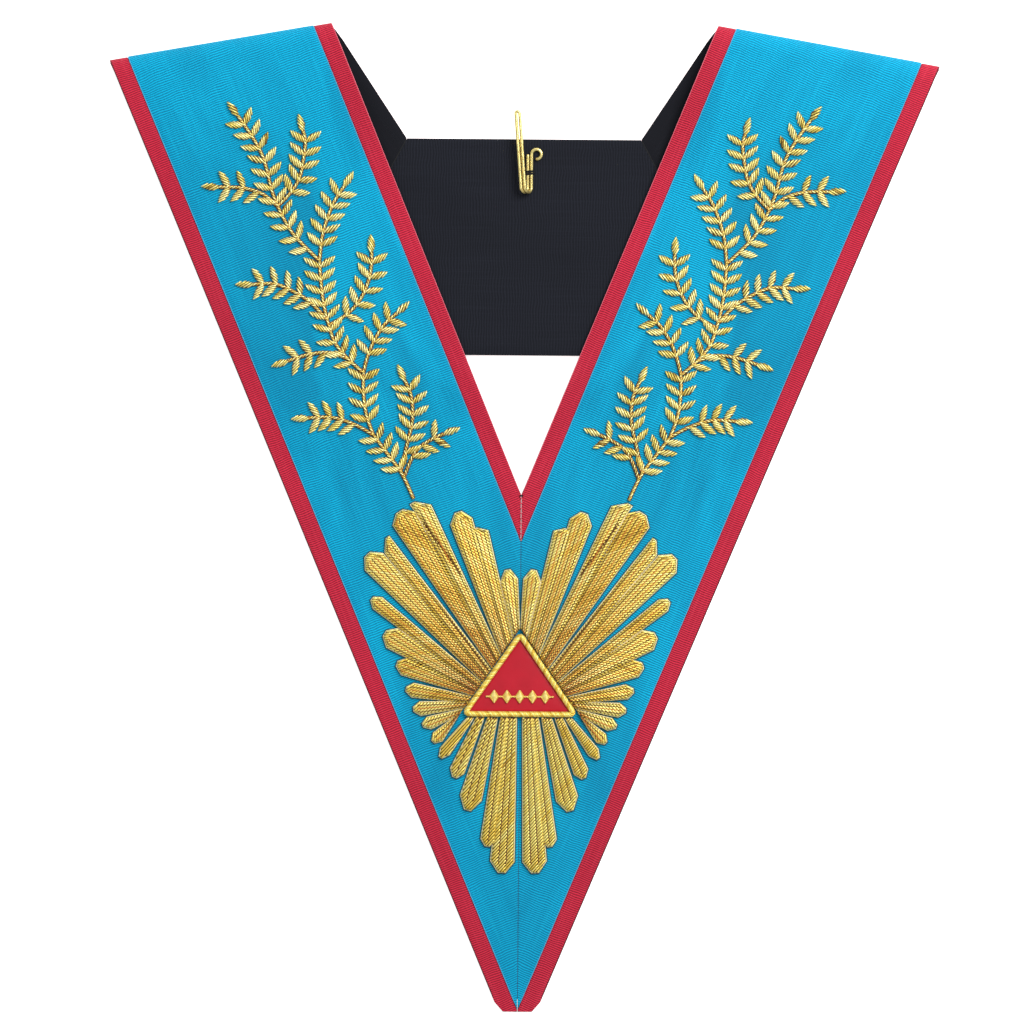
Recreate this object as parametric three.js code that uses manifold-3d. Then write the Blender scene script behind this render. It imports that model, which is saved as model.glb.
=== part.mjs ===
// A ribbon collar with gold embroidery, lying flat with its front up and its back yoke behind.
// Millimetres, +Z up, the point of the collar towards -Y.
import * as THREE from 'three';
import { mergeVertices } from 'three/addons/utils/BufferGeometryUtils.js';
import Module from 'manifold-3d';

// Cut of the ribbon
const ribbonWidth = 101.6;
const legDrop = 221; // from the inner end of the shoulder fold down to the notch
const innerLean = 22.3; // degrees from upright, inner edge of a front leg
const outerLean = 22.65; // degrees from upright, outer edge of a front leg
const foldSlope = 10; // degrees that the shoulder fold falls towards the outside
const pointTrim = 21.3; // cut off the sharp point where the outer edges would meet
const bevelFoot = 2.1; // taken off each corner of the point along its flat
const bevelRise = 4.5; // and up its side
const yokeSetback = 54; // from the shoulder fold down to the top edge of the back yoke
const yokeTopHalf = 55; // half the length of the yoke's top edge

// Plies, from the outside in
const faceThickness = 1.2;
const edgingThickness = 0.9;
const edgingWidth = 8.6;
const liningThickness = 1.0;
const seatGap = 0.3; // between pieces that touch
const finestEdge = 0.02; // shorter edges are closed up after a join
const plyDepth = faceThickness + seatGap; // outer face of the ribbon to the lining
const stackThickness = plyDepth + liningThickness;

// How the collar lies
const rollReach = 9; // from the fold in to the top of the soft roll at each shoulder
const rollHeight = 12;
const rollSteps = 10;
const drapeLength = 78; // from the top of the roll down to the yoke behind
const drapeSteps = 7;
const yokeMargin = 3.5; // the legs stay up until they are this far past the yoke
const slideLength = 52; // from the yoke's height down to the floor
const slideSteps = 5;

// Embroidery
const stemWidth = 1.9;
const stemHeight = 1.1;
const stemStep = 4.5;
const leafLength = 9.2;
const leafWidth = 3.6;
const leafHeight = 1.2;
const leafPitch = 6.4; // between pairs of leaves
const tipBare = 0.85; // share of leafPitch between the last pair and the leaf at a twig's end
const jointBare = 0.5; // the same where one stem runs on into the next
const leafRoom = 3.6; // least distance between the middles of two leaves
const leafSplay = 54; // degrees between a leaf and its stem
const leafBelly = 0.45; // share of a leaf's length where it is widest
const levelStep = 0.02; // between the undersides of neighbouring stems or leaves
const leafLevels = 6;
const rayHeight = 1.5;
const rayTipHeight = 0.75;
const rayChamfer = 0.9;
const narrowChamfer = 0.3; // share of a narrow blade's width that its chamfer may take
const tipWidth = 0.3; // share of a blade's width left at its blunt end
const triangleHalf = 26; // half the foot of the rope's centre line
const triangleHeight = 37.3;
const triangleDrop = 65.5; // from the notch down to the top of the rope's centre line
const ropeDiameter = 2.8;
const ropeSides = 6;
const patchThickness = 0.8;
const lozengeCount = 5;
const lozengePitch = 6;
const lozengeLength = 6;
const lozengeWidth = 4;
const lozengeHeight = 1;
const lozengeRaise = 8.2; // from the triangle's foot up to the row
const lozengeCordWidth = 1;
const lozengeCordHeight = 0.7;

// Wire hook at the nape
const wireDiameter = 1.5;
const hookBaseLength = 20.2;
const hookBillLength = 37.7;
const hookRise = 4.2; // from the base wires up to the bill
const hookShift = 2.9; // the bill stands this far to one side of its base at the bend
const hookLean = 2.95; // and leans this much further at its tip
const hookRing = 4.6; // ring diameter at the wire's centre
const hookFoot = 25; // from the yoke's top edge down to the bend
const hookSide = 2.7; // from the middle of the yoke to the base
const ringTurn = 280; // degrees of the ring, from its open end round to the base
const ringSteps = 7;
const baseSteps = 3;
const bendSteps = 4;
const billSteps = 4;
const wireSides = 6;
const hookSteps = 56;

// Stems of one sprig. along is a share of the leg's inner edge from the notch up, across is a
// share of the ribbon's width from that edge out, and bare is the stretch before the first pair of
// leaves, as a share of the leaf pitch.
const stems = [
  { name: 'foot', bare: 2.3, tip: false,
    along: [0.072, 0.126, 0.172, 0.217],
    across: [0.468, 0.475, 0.502, 0.53] },
  { name: 'trunk', bare: 1.1, tip: false,
    along: [0.217, 0.259, 0.302, 0.338],
    across: [0.53, 0.526, 0.5, 0.466] },
  { name: 'middle', bare: 1.1, tip: false,
    along: [0.338, 0.375, 0.412, 0.444, 0.489, 0.532, 0.574],
    across: [0.466, 0.509, 0.536, 0.534, 0.52, 0.494, 0.462] },
  { name: 'top_inner', bare: 1.1, tip: true,
    along: [0.574, 0.614, 0.645, 0.672, 0.692],
    across: [0.462, 0.412, 0.357, 0.295, 0.228] },
  { name: 'top_outer', bare: 1.2, tip: true,
    along: [0.574, 0.631, 0.664, 0.704, 0.739, 0.781, 0.812, 0.849, 0.897],
    across: [0.462, 0.52, 0.539, 0.547, 0.545, 0.53, 0.526, 0.537, 0.562] },
  { name: 'twig_a', bare: 1.4, tip: true,
    along: [0.704, 0.718, 0.739, 0.77, 0.801, 0.822],
    across: [0.547, 0.474, 0.406, 0.357, 0.317, 0.309] },
  { name: 'twig_b', bare: 1.7, tip: true,
    along: [0.704, 0.738, 0.763, 0.782],
    across: [0.547, 0.592, 0.667, 0.768] },
  { name: 'twig_c', bare: 1.7, tip: true,
    along: [0.46, 0.503, 0.535, 0.565, 0.58],
    across: [0.53, 0.57, 0.622, 0.695, 0.79] },
  { name: 'twig_d', bare: 1.4, tip: true,
    along: [0.45, 0.457, 0.477, 0.507, 0.535, 0.552],
    across: [0.53, 0.432, 0.344, 0.277, 0.24, 0.224] },
  { name: 'twig_e', bare: 1.7, tip: true,
    along: [0.375, 0.399, 0.411, 0.415],
    across: [0.509, 0.575, 0.664, 0.77] },
  { name: 'twig_f', bare: 1.4, tip: true,
    along: [0.338, 0.361, 0.387, 0.411, 0.422],
    across: [0.466, 0.427, 0.37, 0.292, 0.22] },
  { name: 'twig_g', bare: 1.6, tip: true,
    along: [0.217, 0.247, 0.279, 0.296],
    across: [0.53, 0.586, 0.675, 0.78] },
  { name: 'twig_h', bare: 1.4, tip: true,
    along: [0.13, 0.178, 0.215, 0.259, 0.294],
    across: [0.477, 0.399, 0.339, 0.302, 0.302] },
  { name: 'twig_i', bare: 1.6, tip: true,
    along: [0.118, 0.157, 0.167, 0.168],
    across: [0.473, 0.377, 0.287, 0.226] },
];

// Blades of the rays on one side. from and to are shares of the triangle's slope or foot, end is
// the middle of the blade's shoulders and width, point and skew shape its end, all as shares of
// the ribbon's width. skew moves the tip towards the blade's later side, in the order of the shares.
const rays = [
  { name: 'ray_01', base: 'slope', blades: [
    { from: 0.012, to: 0.1, end: [0.053, -0.394], width: 0.077, point: 0.047, skew: 0 }] },
  { name: 'ray_02', base: 'slope', blades: [
    { from: 0.2, to: 0.298, end: [0.276, -0.125], width: 0.101, point: 0.044, skew: 0 },
    { from: 0.118, to: 0.22, end: [0.189, -0.176], width: 0.075, point: 0.024, skew: 0.5 }] },
  { name: 'ray_03', base: 'slope', blades: [
    { from: 0.37, to: 0.448, end: [0.541, -0.114], width: 0.117, point: 0.037, skew: 0 },
    { from: 0.312, to: 0.385, end: [0.452, -0.067], width: 0.075, point: 0.044, skew: 0.9 }] },
  { name: 'ray_04', base: 'slope', blades: [
    { from: 0.53, to: 0.598, end: [0.677, -0.314], width: 0.111, point: 0.044, skew: 0 },
    { from: 0.465, to: 0.545, end: [0.603, -0.254], width: 0.061, point: 0.049, skew: -0.75 }] },
  { name: 'ray_05', base: 'slope', blades: [
    { from: 0.612, to: 0.665, end: [0.66, -0.504], width: 0.063, point: 0.031, skew: 0 },
    { from: 0.655, to: 0.715, end: [0.591, -0.665], width: 0.1, point: 0.039, skew: 0 },
    { from: 0.705, to: 0.752, end: [0.533, -0.796], width: 0.08, point: 0.036, skew: 0 }] },
  { name: 'ray_06', base: 'slope', blades: [
    { from: 0.768, to: 0.835, end: [0.494, -0.905], width: 0.063, point: 0.03, skew: 0 },
    { from: 0.822, to: 0.888, end: [0.459, -0.99], width: 0.062, point: 0.03, skew: 0 }] },
  { name: 'ray_07', base: 'slope', blades: [
    { from: 0.905, to: 0.96, end: [0.417, -1.056], width: 0.057, point: 0.03, skew: 0 },
    { from: 0.945, to: 0.998, end: [0.377, -1.12], width: 0.054, point: 0.03, skew: 0 }] },
  { name: 'ray_08', base: 'foot', blades: [
    { from: 0.17, to: 0.27, end: [0.343, -1.186], width: 0.05, point: 0.034, skew: 0 }] },
  { name: 'ray_09', base: 'foot', blades: [
    { from: 0.31, to: 0.43, end: [0.286, -1.276], width: 0.065, point: 0.031, skew: 0 }] },
  { name: 'ray_10', base: 'foot', blades: [
    { from: 0.49, to: 0.645, end: [0.222, -1.4], width: 0.098, point: 0.057, skew: 0 }] },
  { name: 'ray_11', base: 'foot', blades: [
    { from: 0.7, to: 0.82, end: [0.141, -1.592], width: 0.065, point: 0.03, skew: 0 },
    { from: 0.78, to: 0.95, end: [0.0745, -1.692], width: 0.107, point: 0.051, skew: 0 }] },
];

const wasm = await Module();
wasm.setup();

const tiny = 1e-6; // slack in comparing two lengths
const radians = THREE.MathUtils.degToRad;
const tangent = (degrees) => Math.tan(radians(degrees));
const plan = (x, y) => new THREE.Vector2(x, y);
const dressed = (colour, roughness, metalness) =>
  new THREE.MeshStandardMaterial({ color: colour, roughness, metalness });
const blueRibbon = dressed(0x12a4d6, 0.55, 0);
const redRibbon = dressed(0xd6203e, 0.7, 0);
const blackLining = dressed(0x22252e, 0.8, 0);
const goldThread = dressed(0xd8b04a, 0.4, 0.8);
const redSatin = dressed(0xd22440, 0.45, 0);
const brassWire = dressed(0xd9b24c, 0.3, 1);

// Corners of the right half of the cut, seen from above, with the notch at the origin
const foldInner = plan(legDrop * tangent(innerLean), legDrop);
const outerApex = plan(0, -ribbonWidth / Math.sin(radians(outerLean)));
const pointY = outerApex.y + pointTrim;
const foldOuter = (() => {
  const run = tangent(outerLean);
  const fall = tangent(foldSlope);
  const x = (foldInner.y - outerApex.y + foldInner.x * fall) * run / (1 + run * fall);
  return plan(x, foldInner.y - (x - foldInner.x) * fall);
})();
const yokeTopY = legDrop - yokeSetback;
const yokeFootY = yokeTopY - ribbonWidth;
const yokeTop = plan(yokeTopHalf, yokeTopY);
const mitreSlope = (() => {
  const leg = foldInner.clone().sub(yokeTop).normalize();
  return plan(1, 0).sub(leg).normalize();
})();
const yokeFoot = plan(yokeTop.x + (yokeTopY - yokeFootY) * mitreSlope.x / -mitreSlope.y, yokeFootY);

// Fold coordinates: s runs from the shoulder fold down the cloth, t along the fold to the outside
const alongFold = plan(Math.cos(radians(foldSlope)), -Math.sin(radians(foldSlope)));
const offFold = plan(-Math.sin(radians(foldSlope)), -Math.cos(radians(foldSlope)));
const toFold = (point) => {
  const from = point.clone().sub(foldInner);
  return { s: from.dot(offFold), t: from.dot(alongFold) };
};
const fromFold = (s, t) => foldInner.clone().addScaledVector(offFold, s).addScaledVector(alongFold, t);

// A straight edge as t = at + rate * s, moved out by shift along the fold
function edge(pointA, pointB, shift = 0) {
  const a = toFold(pointA);
  const b = toFold(pointB);
  const rate = (b.t - a.t) / (b.s - a.s);
  return { at: a.t - rate * a.s + shift, rate };
}

const seamShift = seatGap / 2;
const frontInner = (shift) => edge(foldInner, plan(0, 0), shift);
const frontOuter = (shift) => edge(foldOuter, outerApex, shift);
const seam = edge(plan(seamShift, 0), plan(seamShift, -ribbonWidth));
const pointCut = edge(plan(0, pointY), plan(ribbonWidth, pointY));
const outerX = (y) => (y - outerApex.y) * tangent(outerLean);
const pointBevel = edge(plan(outerX(pointY) - bevelFoot, pointY),
  plan(outerX(pointY + bevelRise), pointY + bevelRise));
const backInner = (shift) => edge(foldInner, yokeTop, shift);
const backOuter = (shift) => edge(foldOuter, yokeFoot, shift);
const mitreClear = seamShift / Math.abs(mitreSlope.x);
const mitre = edge(plan(yokeTop.x, yokeTop.y + mitreClear), plan(yokeFoot.x, yokeFoot.y + mitreClear));

// The part of each ruling that a strip covers, and where the strip starts, bends and ends
const edgeAt = (line, s) => line.at + line.rate * s;
const lowAt = (area, s) => Math.max(...area.lows.map((line) => edgeAt(line, s)));
const highAt = (area, s) => Math.min(...area.highs.map((line) => edgeAt(line, s)));
const crossing = (a, b) => (b.at - a.at) / (a.rate - b.rate);

function areaEnd(area) {
  const closings = area.lows.flatMap((low) => area.highs.map((high) => crossing(low, high)));
  const real = closings.filter((s) => s > 0 && Math.abs(highAt(area, s) - lowAt(area, s)) < tiny);
  return Math.min(...real);
}

function areaBends(area, end) {
  const turns = [area.lows, area.highs].flatMap(
    (lines) => lines.slice(1).map((line, i) => crossing(lines[i], line)));
  return turns.filter((s) => s > 0 && s < end - tiny);
}

// Height of the ribbon's outer face over the front, from the top of the roll down to the floor
const ease = (share) => (1 + Math.cos(Math.PI * share)) / 2;
const lapHeight = 2 * stackThickness + seatGap;
const lapStart = rollReach + drapeLength;
const yokeCorner = plan(yokeFootY * tangent(innerLean), yokeFootY);
const lapEnd = Math.max(toFold(yokeCorner).s, toFold(yokeFoot).s, lapStart) + yokeMargin;
const frontProfile = [
  ...Array.from({ length: drapeSteps + 1 }, (_, i) => ({
    s: rollReach + drapeLength * i / drapeSteps,
    z: lapHeight + (rollHeight - lapHeight) * ease(i / drapeSteps) })),
  ...Array.from({ length: slideSteps + 1 }, (_, i) => ({
    s: lapEnd + slideLength * i / slideSteps,
    z: stackThickness + (lapHeight - stackThickness) * ease(i / slideSteps) })),
];

function heightAt(s) {
  const next = frontProfile.findIndex((row) => row.s >= s);
  if (next === 0) return frontProfile[0].z;
  if (next < 0) return frontProfile[frontProfile.length - 1].z;
  const a = frontProfile[next - 1];
  const b = frontProfile[next];
  return THREE.MathUtils.lerp(a.z, b.z, (s - a.s) / (b.s - a.s));
}

// Stations round a quarter of the oval roll, from its side up to its top, or down to the floor
const quarterSteps = rollSteps / 2;

function rollStations(area, way) {
  const rise = rollHeight / 2;
  const cut = { s: 0, z: rise + way * seatGap / 2, ns: -1, nz: 0, area };
  const rows = Array.from({ length: quarterSteps }, (_, i) => {
    const turn = way * Math.PI / 2 * (i + 1) / quarterSteps;
    const normal = plan(-rise * Math.cos(turn), rollReach * Math.sin(turn)).normalize();
    return { s: rollReach * (1 - Math.cos(turn)), z: rise * (1 + Math.sin(turn)),
      ns: normal.x, nz: normal.y, area };
  });
  return [cut, ...rows];
}

// Stations of a back leg, from its mitre along the floor and up to the fold
function backStations(area) {
  const end = areaEnd(area);
  const flat = [end, ...areaBends(area, end)].filter((s) => s > rollReach).sort((a, b) => b - a);
  const rows = flat.map((s) => ({ s, z: 0, ns: 0, nz: -1, area }));
  return [...rows, ...rollStations(area, -1).reverse()];
}

// Stations of a front leg, from the fold over the roll and down to its point
function frontStations(area) {
  const end = areaEnd(area);
  const bends = areaBends(area, end).filter((s) => s > rollReach);
  const knots = frontProfile.map((row) => row.s).filter((s) => s > rollReach && s < end - tiny);
  const flat = [...knots, ...bends, end].sort((a, b) => a - b);
  const rows = flat.map((s) => ({ s, z: heightAt(s), ns: 0, nz: 1, area }));
  return [...rollStations(area, 1), ...rows];
}

// Closed body through a row of rings with the same number of corners
function loft(rings, looped = false) {
  const corners = rings[0].length;
  const positions = rings.flat().flatMap((corner) => [corner.x, corner.y, corner.z]);
  const index = [];
  const spans = looped ? rings.length : rings.length - 1;
  for (let i = 0; i < spans; i += 1) {
    const here = i * corners;
    const there = ((i + 1) % rings.length) * corners;
    for (let j = 0; j < corners; j += 1) {
      const next = (j + 1) % corners;
      index.push(here + j, there + j, there + next, here + j, there + next, here + next);
    }
  }
  if (!looped) {
    const last = (rings.length - 1) * corners;
    for (let j = 1; j < corners - 1; j += 1) {
      index.push(0, j, j + 1, last, last + j + 1, last + j);
    }
  }
  const geometry = new THREE.BufferGeometry();
  geometry.setAttribute('position', new THREE.Float32BufferAttribute(positions, 3));
  geometry.setIndex(index);
  return sealed(geometry);
}

// Shared corners merged, empty triangles dropped and all faces turned to look out
function sealed(geometry) {
  geometry.deleteAttribute('normal');
  geometry.deleteAttribute('uv');
  const merged = mergeVertices(geometry, 1e-4);
  const place = merged.attributes.position;
  const corner = (i) => new THREE.Vector3().fromBufferAttribute(place, i);
  const kept = [];
  let volume = 0;
  for (let i = 0; i < merged.index.count; i += 3) {
    const face = [0, 1, 2].map((j) => merged.index.getX(i + j));
    if (new Set(face).size === 3) {
      const [a, b, c] = face.map(corner);
      volume += a.dot(b.cross(c));
      kept.push(face);
    }
  }
  merged.setIndex(kept.flatMap((face) => (volume < 0 ? face.reverse() : face)));
  return merged;
}

function solid(geometry) {
  const closed = sealed(geometry);
  return new wasm.Manifold(new wasm.Mesh({
    numProp: 3,
    vertProperties: new Float32Array(closed.attributes.position.array),
    triVerts: new Uint32Array(closed.index.array),
  }));
}

function fused(geometries) {
  const whole = geometries.map(solid).reduce((sum, part) => sum.add(part));
  const mesh = whole.simplify(finestEdge).getMesh();
  const geometry = new THREE.BufferGeometry();
  geometry.setAttribute('position', new THREE.BufferAttribute(mesh.vertProperties, 3));
  geometry.setIndex(new THREE.BufferAttribute(mesh.triVerts, 1));
  return geometry;
}

// One ply along its stations, between two depths under the ribbon's outer face, on the given side
function stripGeometry(rows, ply, side) {
  const rings = rows.map((row) => {
    const low = lowAt(row.area, row.s);
    const high = Math.max(highAt(row.area, row.s), low);
    const places = [[low, ply.top], [high, ply.top], [high, ply.bottom], [low, ply.bottom]];
    return places.map(([t, depth]) => {
      const at = fromFold(row.s - row.ns * depth, t);
      return new THREE.Vector3(side * at.x, at.y, row.z - row.nz * depth);
    });
  });
  return loft(rings);
}

const innerFace = edgingWidth + seatGap;
const strips = {
  face: {
    front: { lows: [frontInner(innerFace), seam], highs: [frontOuter(-innerFace), pointCut] },
    back: { lows: [backInner(innerFace), mitre], highs: [backOuter(-innerFace)] },
    top: 0, bottom: faceThickness, material: blueRibbon },
  inner_edging: {
    front: { lows: [frontInner(0), seam], highs: [frontInner(edgingWidth)] },
    back: { lows: [backInner(0), mitre], highs: [backInner(edgingWidth)] },
    top: faceThickness - edgingThickness, bottom: faceThickness, material: redRibbon },
  outer_edging: {
    front: { lows: [frontOuter(-edgingWidth), seam], highs: [frontOuter(0), pointBevel, pointCut] },
    back: { lows: [backOuter(-edgingWidth), mitre], highs: [backOuter(0)] },
    top: faceThickness - edgingThickness, bottom: faceThickness, material: redRibbon },
  lining: {
    front: { lows: [frontInner(0), seam], highs: [frontOuter(0), pointBevel, pointCut] },
    back: { lows: [backInner(0), mitre], highs: [backOuter(0)] },
    top: plyDepth, bottom: stackThickness, material: blackLining },
};

// Back yoke, between the two mitres, with its face on the floor
function yokeGeometry(fromTop, toTop, low, high) {
  const reach = (y) => yokeTop.x - mitreClear * mitreSlope.x
    + (yokeTopY - y) * mitreSlope.x / -mitreSlope.y;
  const topY = yokeTopY - fromTop;
  const footY = yokeTopY - toTop;
  const outline = new THREE.Shape([
    plan(-reach(footY), footY), plan(reach(footY), footY),
    plan(reach(topY), topY), plan(-reach(topY), topY)]);
  const geometry = new THREE.ExtrudeGeometry(outline, { depth: high - low, bevelEnabled: false });
  return geometry.translate(0, 0, low);
}

// Place on the front of the ribbon, seated clear of it and raised by lift
function seat(point, lift) {
  const right = plan(Math.abs(point.x), point.y);
  return new THREE.Vector3(point.x, point.y, heightAt(toFold(right).s) + seatGap + lift);
}

const legUp = plan(Math.sin(radians(innerLean)), Math.cos(radians(innerLean)));
const legOut = plan(legUp.y, -legUp.x);
const innerEdgeLength = foldInner.length();
const onLeg = (along, across) => plan(0, 0)
  .addScaledVector(legUp, along * innerEdgeLength)
  .addScaledVector(legOut, across * ribbonWidth);

// Low spindle of gold from root to tip, with its widest place at the share belly of its length
function spindle(root, tip, size, lift) {
  const run = tip.clone().sub(root);
  const across = plan(-run.y, run.x).normalize().multiplyScalar(size.width / 2);
  const waist = root.clone().addScaledVector(run, size.belly);
  const left = seat(waist.clone().add(across), lift);
  const right = seat(waist.clone().sub(across), lift);
  const end = (point) => Array.from({ length: 3 }, () => seat(point, lift));
  return loft([end(root), [left, right, seat(waist, lift + size.height)], end(tip)]);
}

const onSide = (point, side) => plan(side * point.x, point.y);

const leafSize = { width: leafWidth, height: leafHeight, belly: leafBelly };

function stemCurve(stem) {
  return new THREE.SplineCurve(stem.along.map((along, i) => onLeg(along, stem.across[i])));
}

// Ridged cord along a stem
function stemGeometry(stem, side, level) {
  const curve = stemCurve(stem);
  const steps = Math.max(2, Math.round(curve.getLength() / stemStep));
  const rings = Array.from({ length: steps + 1 }, (_, i) => {
    const at = curve.getPointAt(i / steps);
    const way = curve.getTangentAt(i / steps);
    const across = plan(-way.y, way.x).multiplyScalar(stemWidth / 2);
    const put = (point, lift) => seat(onSide(point, side), level * levelStep + lift);
    return [put(at.clone().add(across), 0), put(at.clone().sub(across), 0), put(at, stemHeight)];
  });
  return loft(rings);
}

// Pairs of leaves at an even pitch, and one leaf at the end of each twig. A leaf is left out where
// another is worked already.
function leafGeometries(stem, side, worked) {
  const curve = stemCurve(stem);
  const length = curve.getLength();
  const first = stem.bare * leafPitch;
  const last = length - (stem.tip ? tipBare : jointBare) * leafPitch;
  const gaps = Math.round((last - first) / leafPitch);
  const leaves = [];
  const add = (root, aim) => {
    const middle = root.clone().addScaledVector(aim, leafLength / 2);
    if (worked.some((other) => other.distanceTo(middle) < leafRoom)) return;
    worked.push(middle);
    const tip = root.clone().addScaledVector(aim, leafLength);
    const level = stems.length + leaves.length % leafLevels;
    leaves.push(spindle(onSide(root, side), onSide(tip, side), leafSize, level * levelStep));
  };
  for (let i = 0; i <= gaps; i += 1) {
    const share = THREE.MathUtils.lerp(first, last, i / gaps) / length;
    const way = curve.getTangentAt(share);
    for (const turn of [leafSplay, -leafSplay]) {
      add(curve.getPointAt(share), way.clone().rotateAround(plan(0, 0), radians(turn)));
    }
  }
  if (stem.tip) {
    const way = curve.getTangentAt(1);
    add(curve.getPointAt(1).addScaledVector(way, -stemWidth / 2), way);
  }
  return leaves;
}

// Undersides lie at slightly different levels, so that no two of them meet face to face
function sprigGeometry(side) {
  const worked = [];
  return fused(stems.flatMap((stem, i) =>
    [stemGeometry(stem, side, i), ...leafGeometries(stem, side, worked)]));
}

// Triangle of rope with the rays' bases on a line just outside it
const slopeAngle = Math.atan(triangleHalf / triangleHeight);
const triangleFootY = -triangleDrop - triangleHeight;

function triangleAt(outset) {
  const topY = -triangleDrop + outset / Math.sin(slopeAngle);
  const footY = triangleFootY - outset;
  return { topY, footY, half: (topY - footY) * Math.tan(slopeAngle) };
}

function rayBase(kind, share) {
  const rim = triangleAt(ropeDiameter / 2 + seatGap);
  const corner = plan(rim.half, rim.footY);
  return kind === 'slope' ? plan(0, rim.topY).lerp(corner, share) : corner.lerp(plan(0, rim.footY), share);
}

// One padded blade with chamfered sides, from the triangle out to a blunt point
function bladeGeometry(kind, blade, side) {
  const near = rayBase(kind, blade.from);
  const far = rayBase(kind, blade.to);
  const middle = near.clone().lerp(far, 0.5);
  const end = plan(...blade.end).multiplyScalar(ribbonWidth);
  const axis = end.clone().sub(middle).normalize();
  const out = plan(axis.y, -axis.x);
  const half = blade.width * ribbonWidth / 2;
  const inner = end.clone().addScaledVector(out, -half);
  const outer = end.clone().addScaledVector(out, half);
  const tip = end.clone().addScaledVector(axis, blade.point * ribbonWidth)
    .addScaledVector(out, blade.skew * half);
  const tipHalf = out.clone().multiplyScalar(half * tipWidth);
  const ring = (a, b, height) => {
    const inset = Math.min(rayChamfer / a.distanceTo(b), narrowChamfer);
    const put = (point, lift) => seat(onSide(point, side), lift);
    const topA = a.clone().lerp(b, inset);
    const topB = b.clone().lerp(a, inset);
    return [put(a, 0), put(b, 0), put(topB, height), put(topA, height)];
  };
  return loft([
    ring(near, far, rayHeight),
    ring(inner, outer, rayHeight),
    ring(tip.clone().sub(tipHalf), tip.clone().add(tipHalf), rayTipHeight)]);
}

// Cord round the triangle, resting on one of its flats
function ropeGeometry() {
  const radius = ropeDiameter / 2;
  const rise = radius * Math.sin(2 * Math.PI / ropeSides);
  const cornerAt = (outset, lift) => {
    const rim = triangleAt(outset);
    return [plan(0, rim.topY), plan(rim.half, rim.footY), plan(-rim.half, rim.footY)]
      .map((point) => seat(point, lift));
  };
  const around = Array.from({ length: ropeSides }, (_, i) => {
    const turn = 2 * Math.PI * i / ropeSides;
    return cornerAt(radius * Math.cos(turn), rise + radius * Math.sin(turn));
  });
  return loft([0, 1, 2].map((corner) => around.map((places) => places[corner])), true);
}

function patchGeometry() {
  const rim = triangleAt(-ropeDiameter / 2 - seatGap);
  const outline = new THREE.Shape([
    plan(-rim.half, rim.footY), plan(rim.half, rim.footY), plan(0, rim.topY)]);
  const geometry = new THREE.ExtrudeGeometry(outline, { depth: patchThickness, bevelEnabled: false });
  return geometry.translate(0, 0, seat(plan(0, triangleFootY), 0).z);
}

// Plain row of lozenges on a cord across the patch
function lozengeGeometry() {
  const y = triangleFootY + lozengeRaise;
  const lift = patchThickness + seatGap;
  const size = { width: lozengeWidth, height: lozengeHeight, belly: 0.5 };
  const firstX = -(lozengeCount - 1) / 2 * lozengePitch;
  const reach = lozengeWidth - firstX;
  const cord = loft([-reach, reach].map((x) => [
    seat(plan(x, y - lozengeCordWidth / 2), lift),
    seat(plan(x, y + lozengeCordWidth / 2), lift),
    seat(plan(x, y), lift + lozengeCordHeight)]));
  const row = Array.from({ length: lozengeCount }, (_, i) => {
    const foot = plan(firstX + i * lozengePitch, y - lozengeLength / 2);
    return spindle(foot, plan(foot.x, foot.y + lozengeLength), size, lift);
  });
  return fused([cord, ...row]);
}

// One wire: ring, base, bend, bill, hairpin, and the same way back without a ring
function hookGeometry() {
  const spread = (wireDiameter + seatGap) / 2;
  const ring = hookRing / 2;
  const bend = hookRise / 2;
  const half = [];
  const ringY = hookBaseLength - ring;
  for (let i = 0; i <= ringSteps; i += 1) {
    const turn = radians(180 - ringTurn * (1 - i / ringSteps));
    half.push([spread + ring + ring * Math.cos(turn), ringY + ring * Math.sin(turn), 0]);
  }
  for (let i = 1; i <= baseSteps; i += 1) {
    half.push([spread, THREE.MathUtils.lerp(ringY, bend, i / baseSteps), 0]);
  }
  for (let i = 1; i <= bendSteps; i += 1) {
    const turn = Math.PI * i / bendSteps;
    half.push([spread, bend * (1 - Math.sin(turn)), bend * (1 - Math.cos(turn))]);
  }
  for (let i = 1; i <= billSteps; i += 1) {
    half.push([spread, THREE.MathUtils.lerp(bend, hookBillLength - spread, i / billSteps), hookRise]);
  }
  const tip = [0, hookBillLength, hookRise];
  const back = half.slice(ringSteps).map(([x, y, z]) => [-x, y, z]).reverse();
  const shiftAt = (y, z) => (hookShift + hookLean * y / hookBillLength) * z / hookRise;
  const base = stackThickness + seatGap + wireDiameter / 2;
  const route = [...half, tip, ...back].map(([x, y, z]) => new THREE.Vector3(
    hookSide + x - shiftAt(y, z), yokeTopY - hookFoot + y, base + z));
  const curve = new THREE.CatmullRomCurve3(route, false, 'centripetal');
  const section = new THREE.Shape(Array.from({ length: wireSides }, (_, i) => {
    const turn = 2 * Math.PI * i / wireSides;
    return plan(wireDiameter / 2 * Math.cos(turn), wireDiameter / 2 * Math.sin(turn));
  }));
  return new THREE.ExtrudeGeometry(section, { extrudePath: curve, steps: hookSteps });
}

const collar = new THREE.Group();
collar.position.y = -(foldInner.y + pointY) / 2;

function place(name, geometry, material) {
  const mesh = new THREE.Mesh(geometry, material);
  mesh.name = name;
  collar.add(mesh);
}

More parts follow.
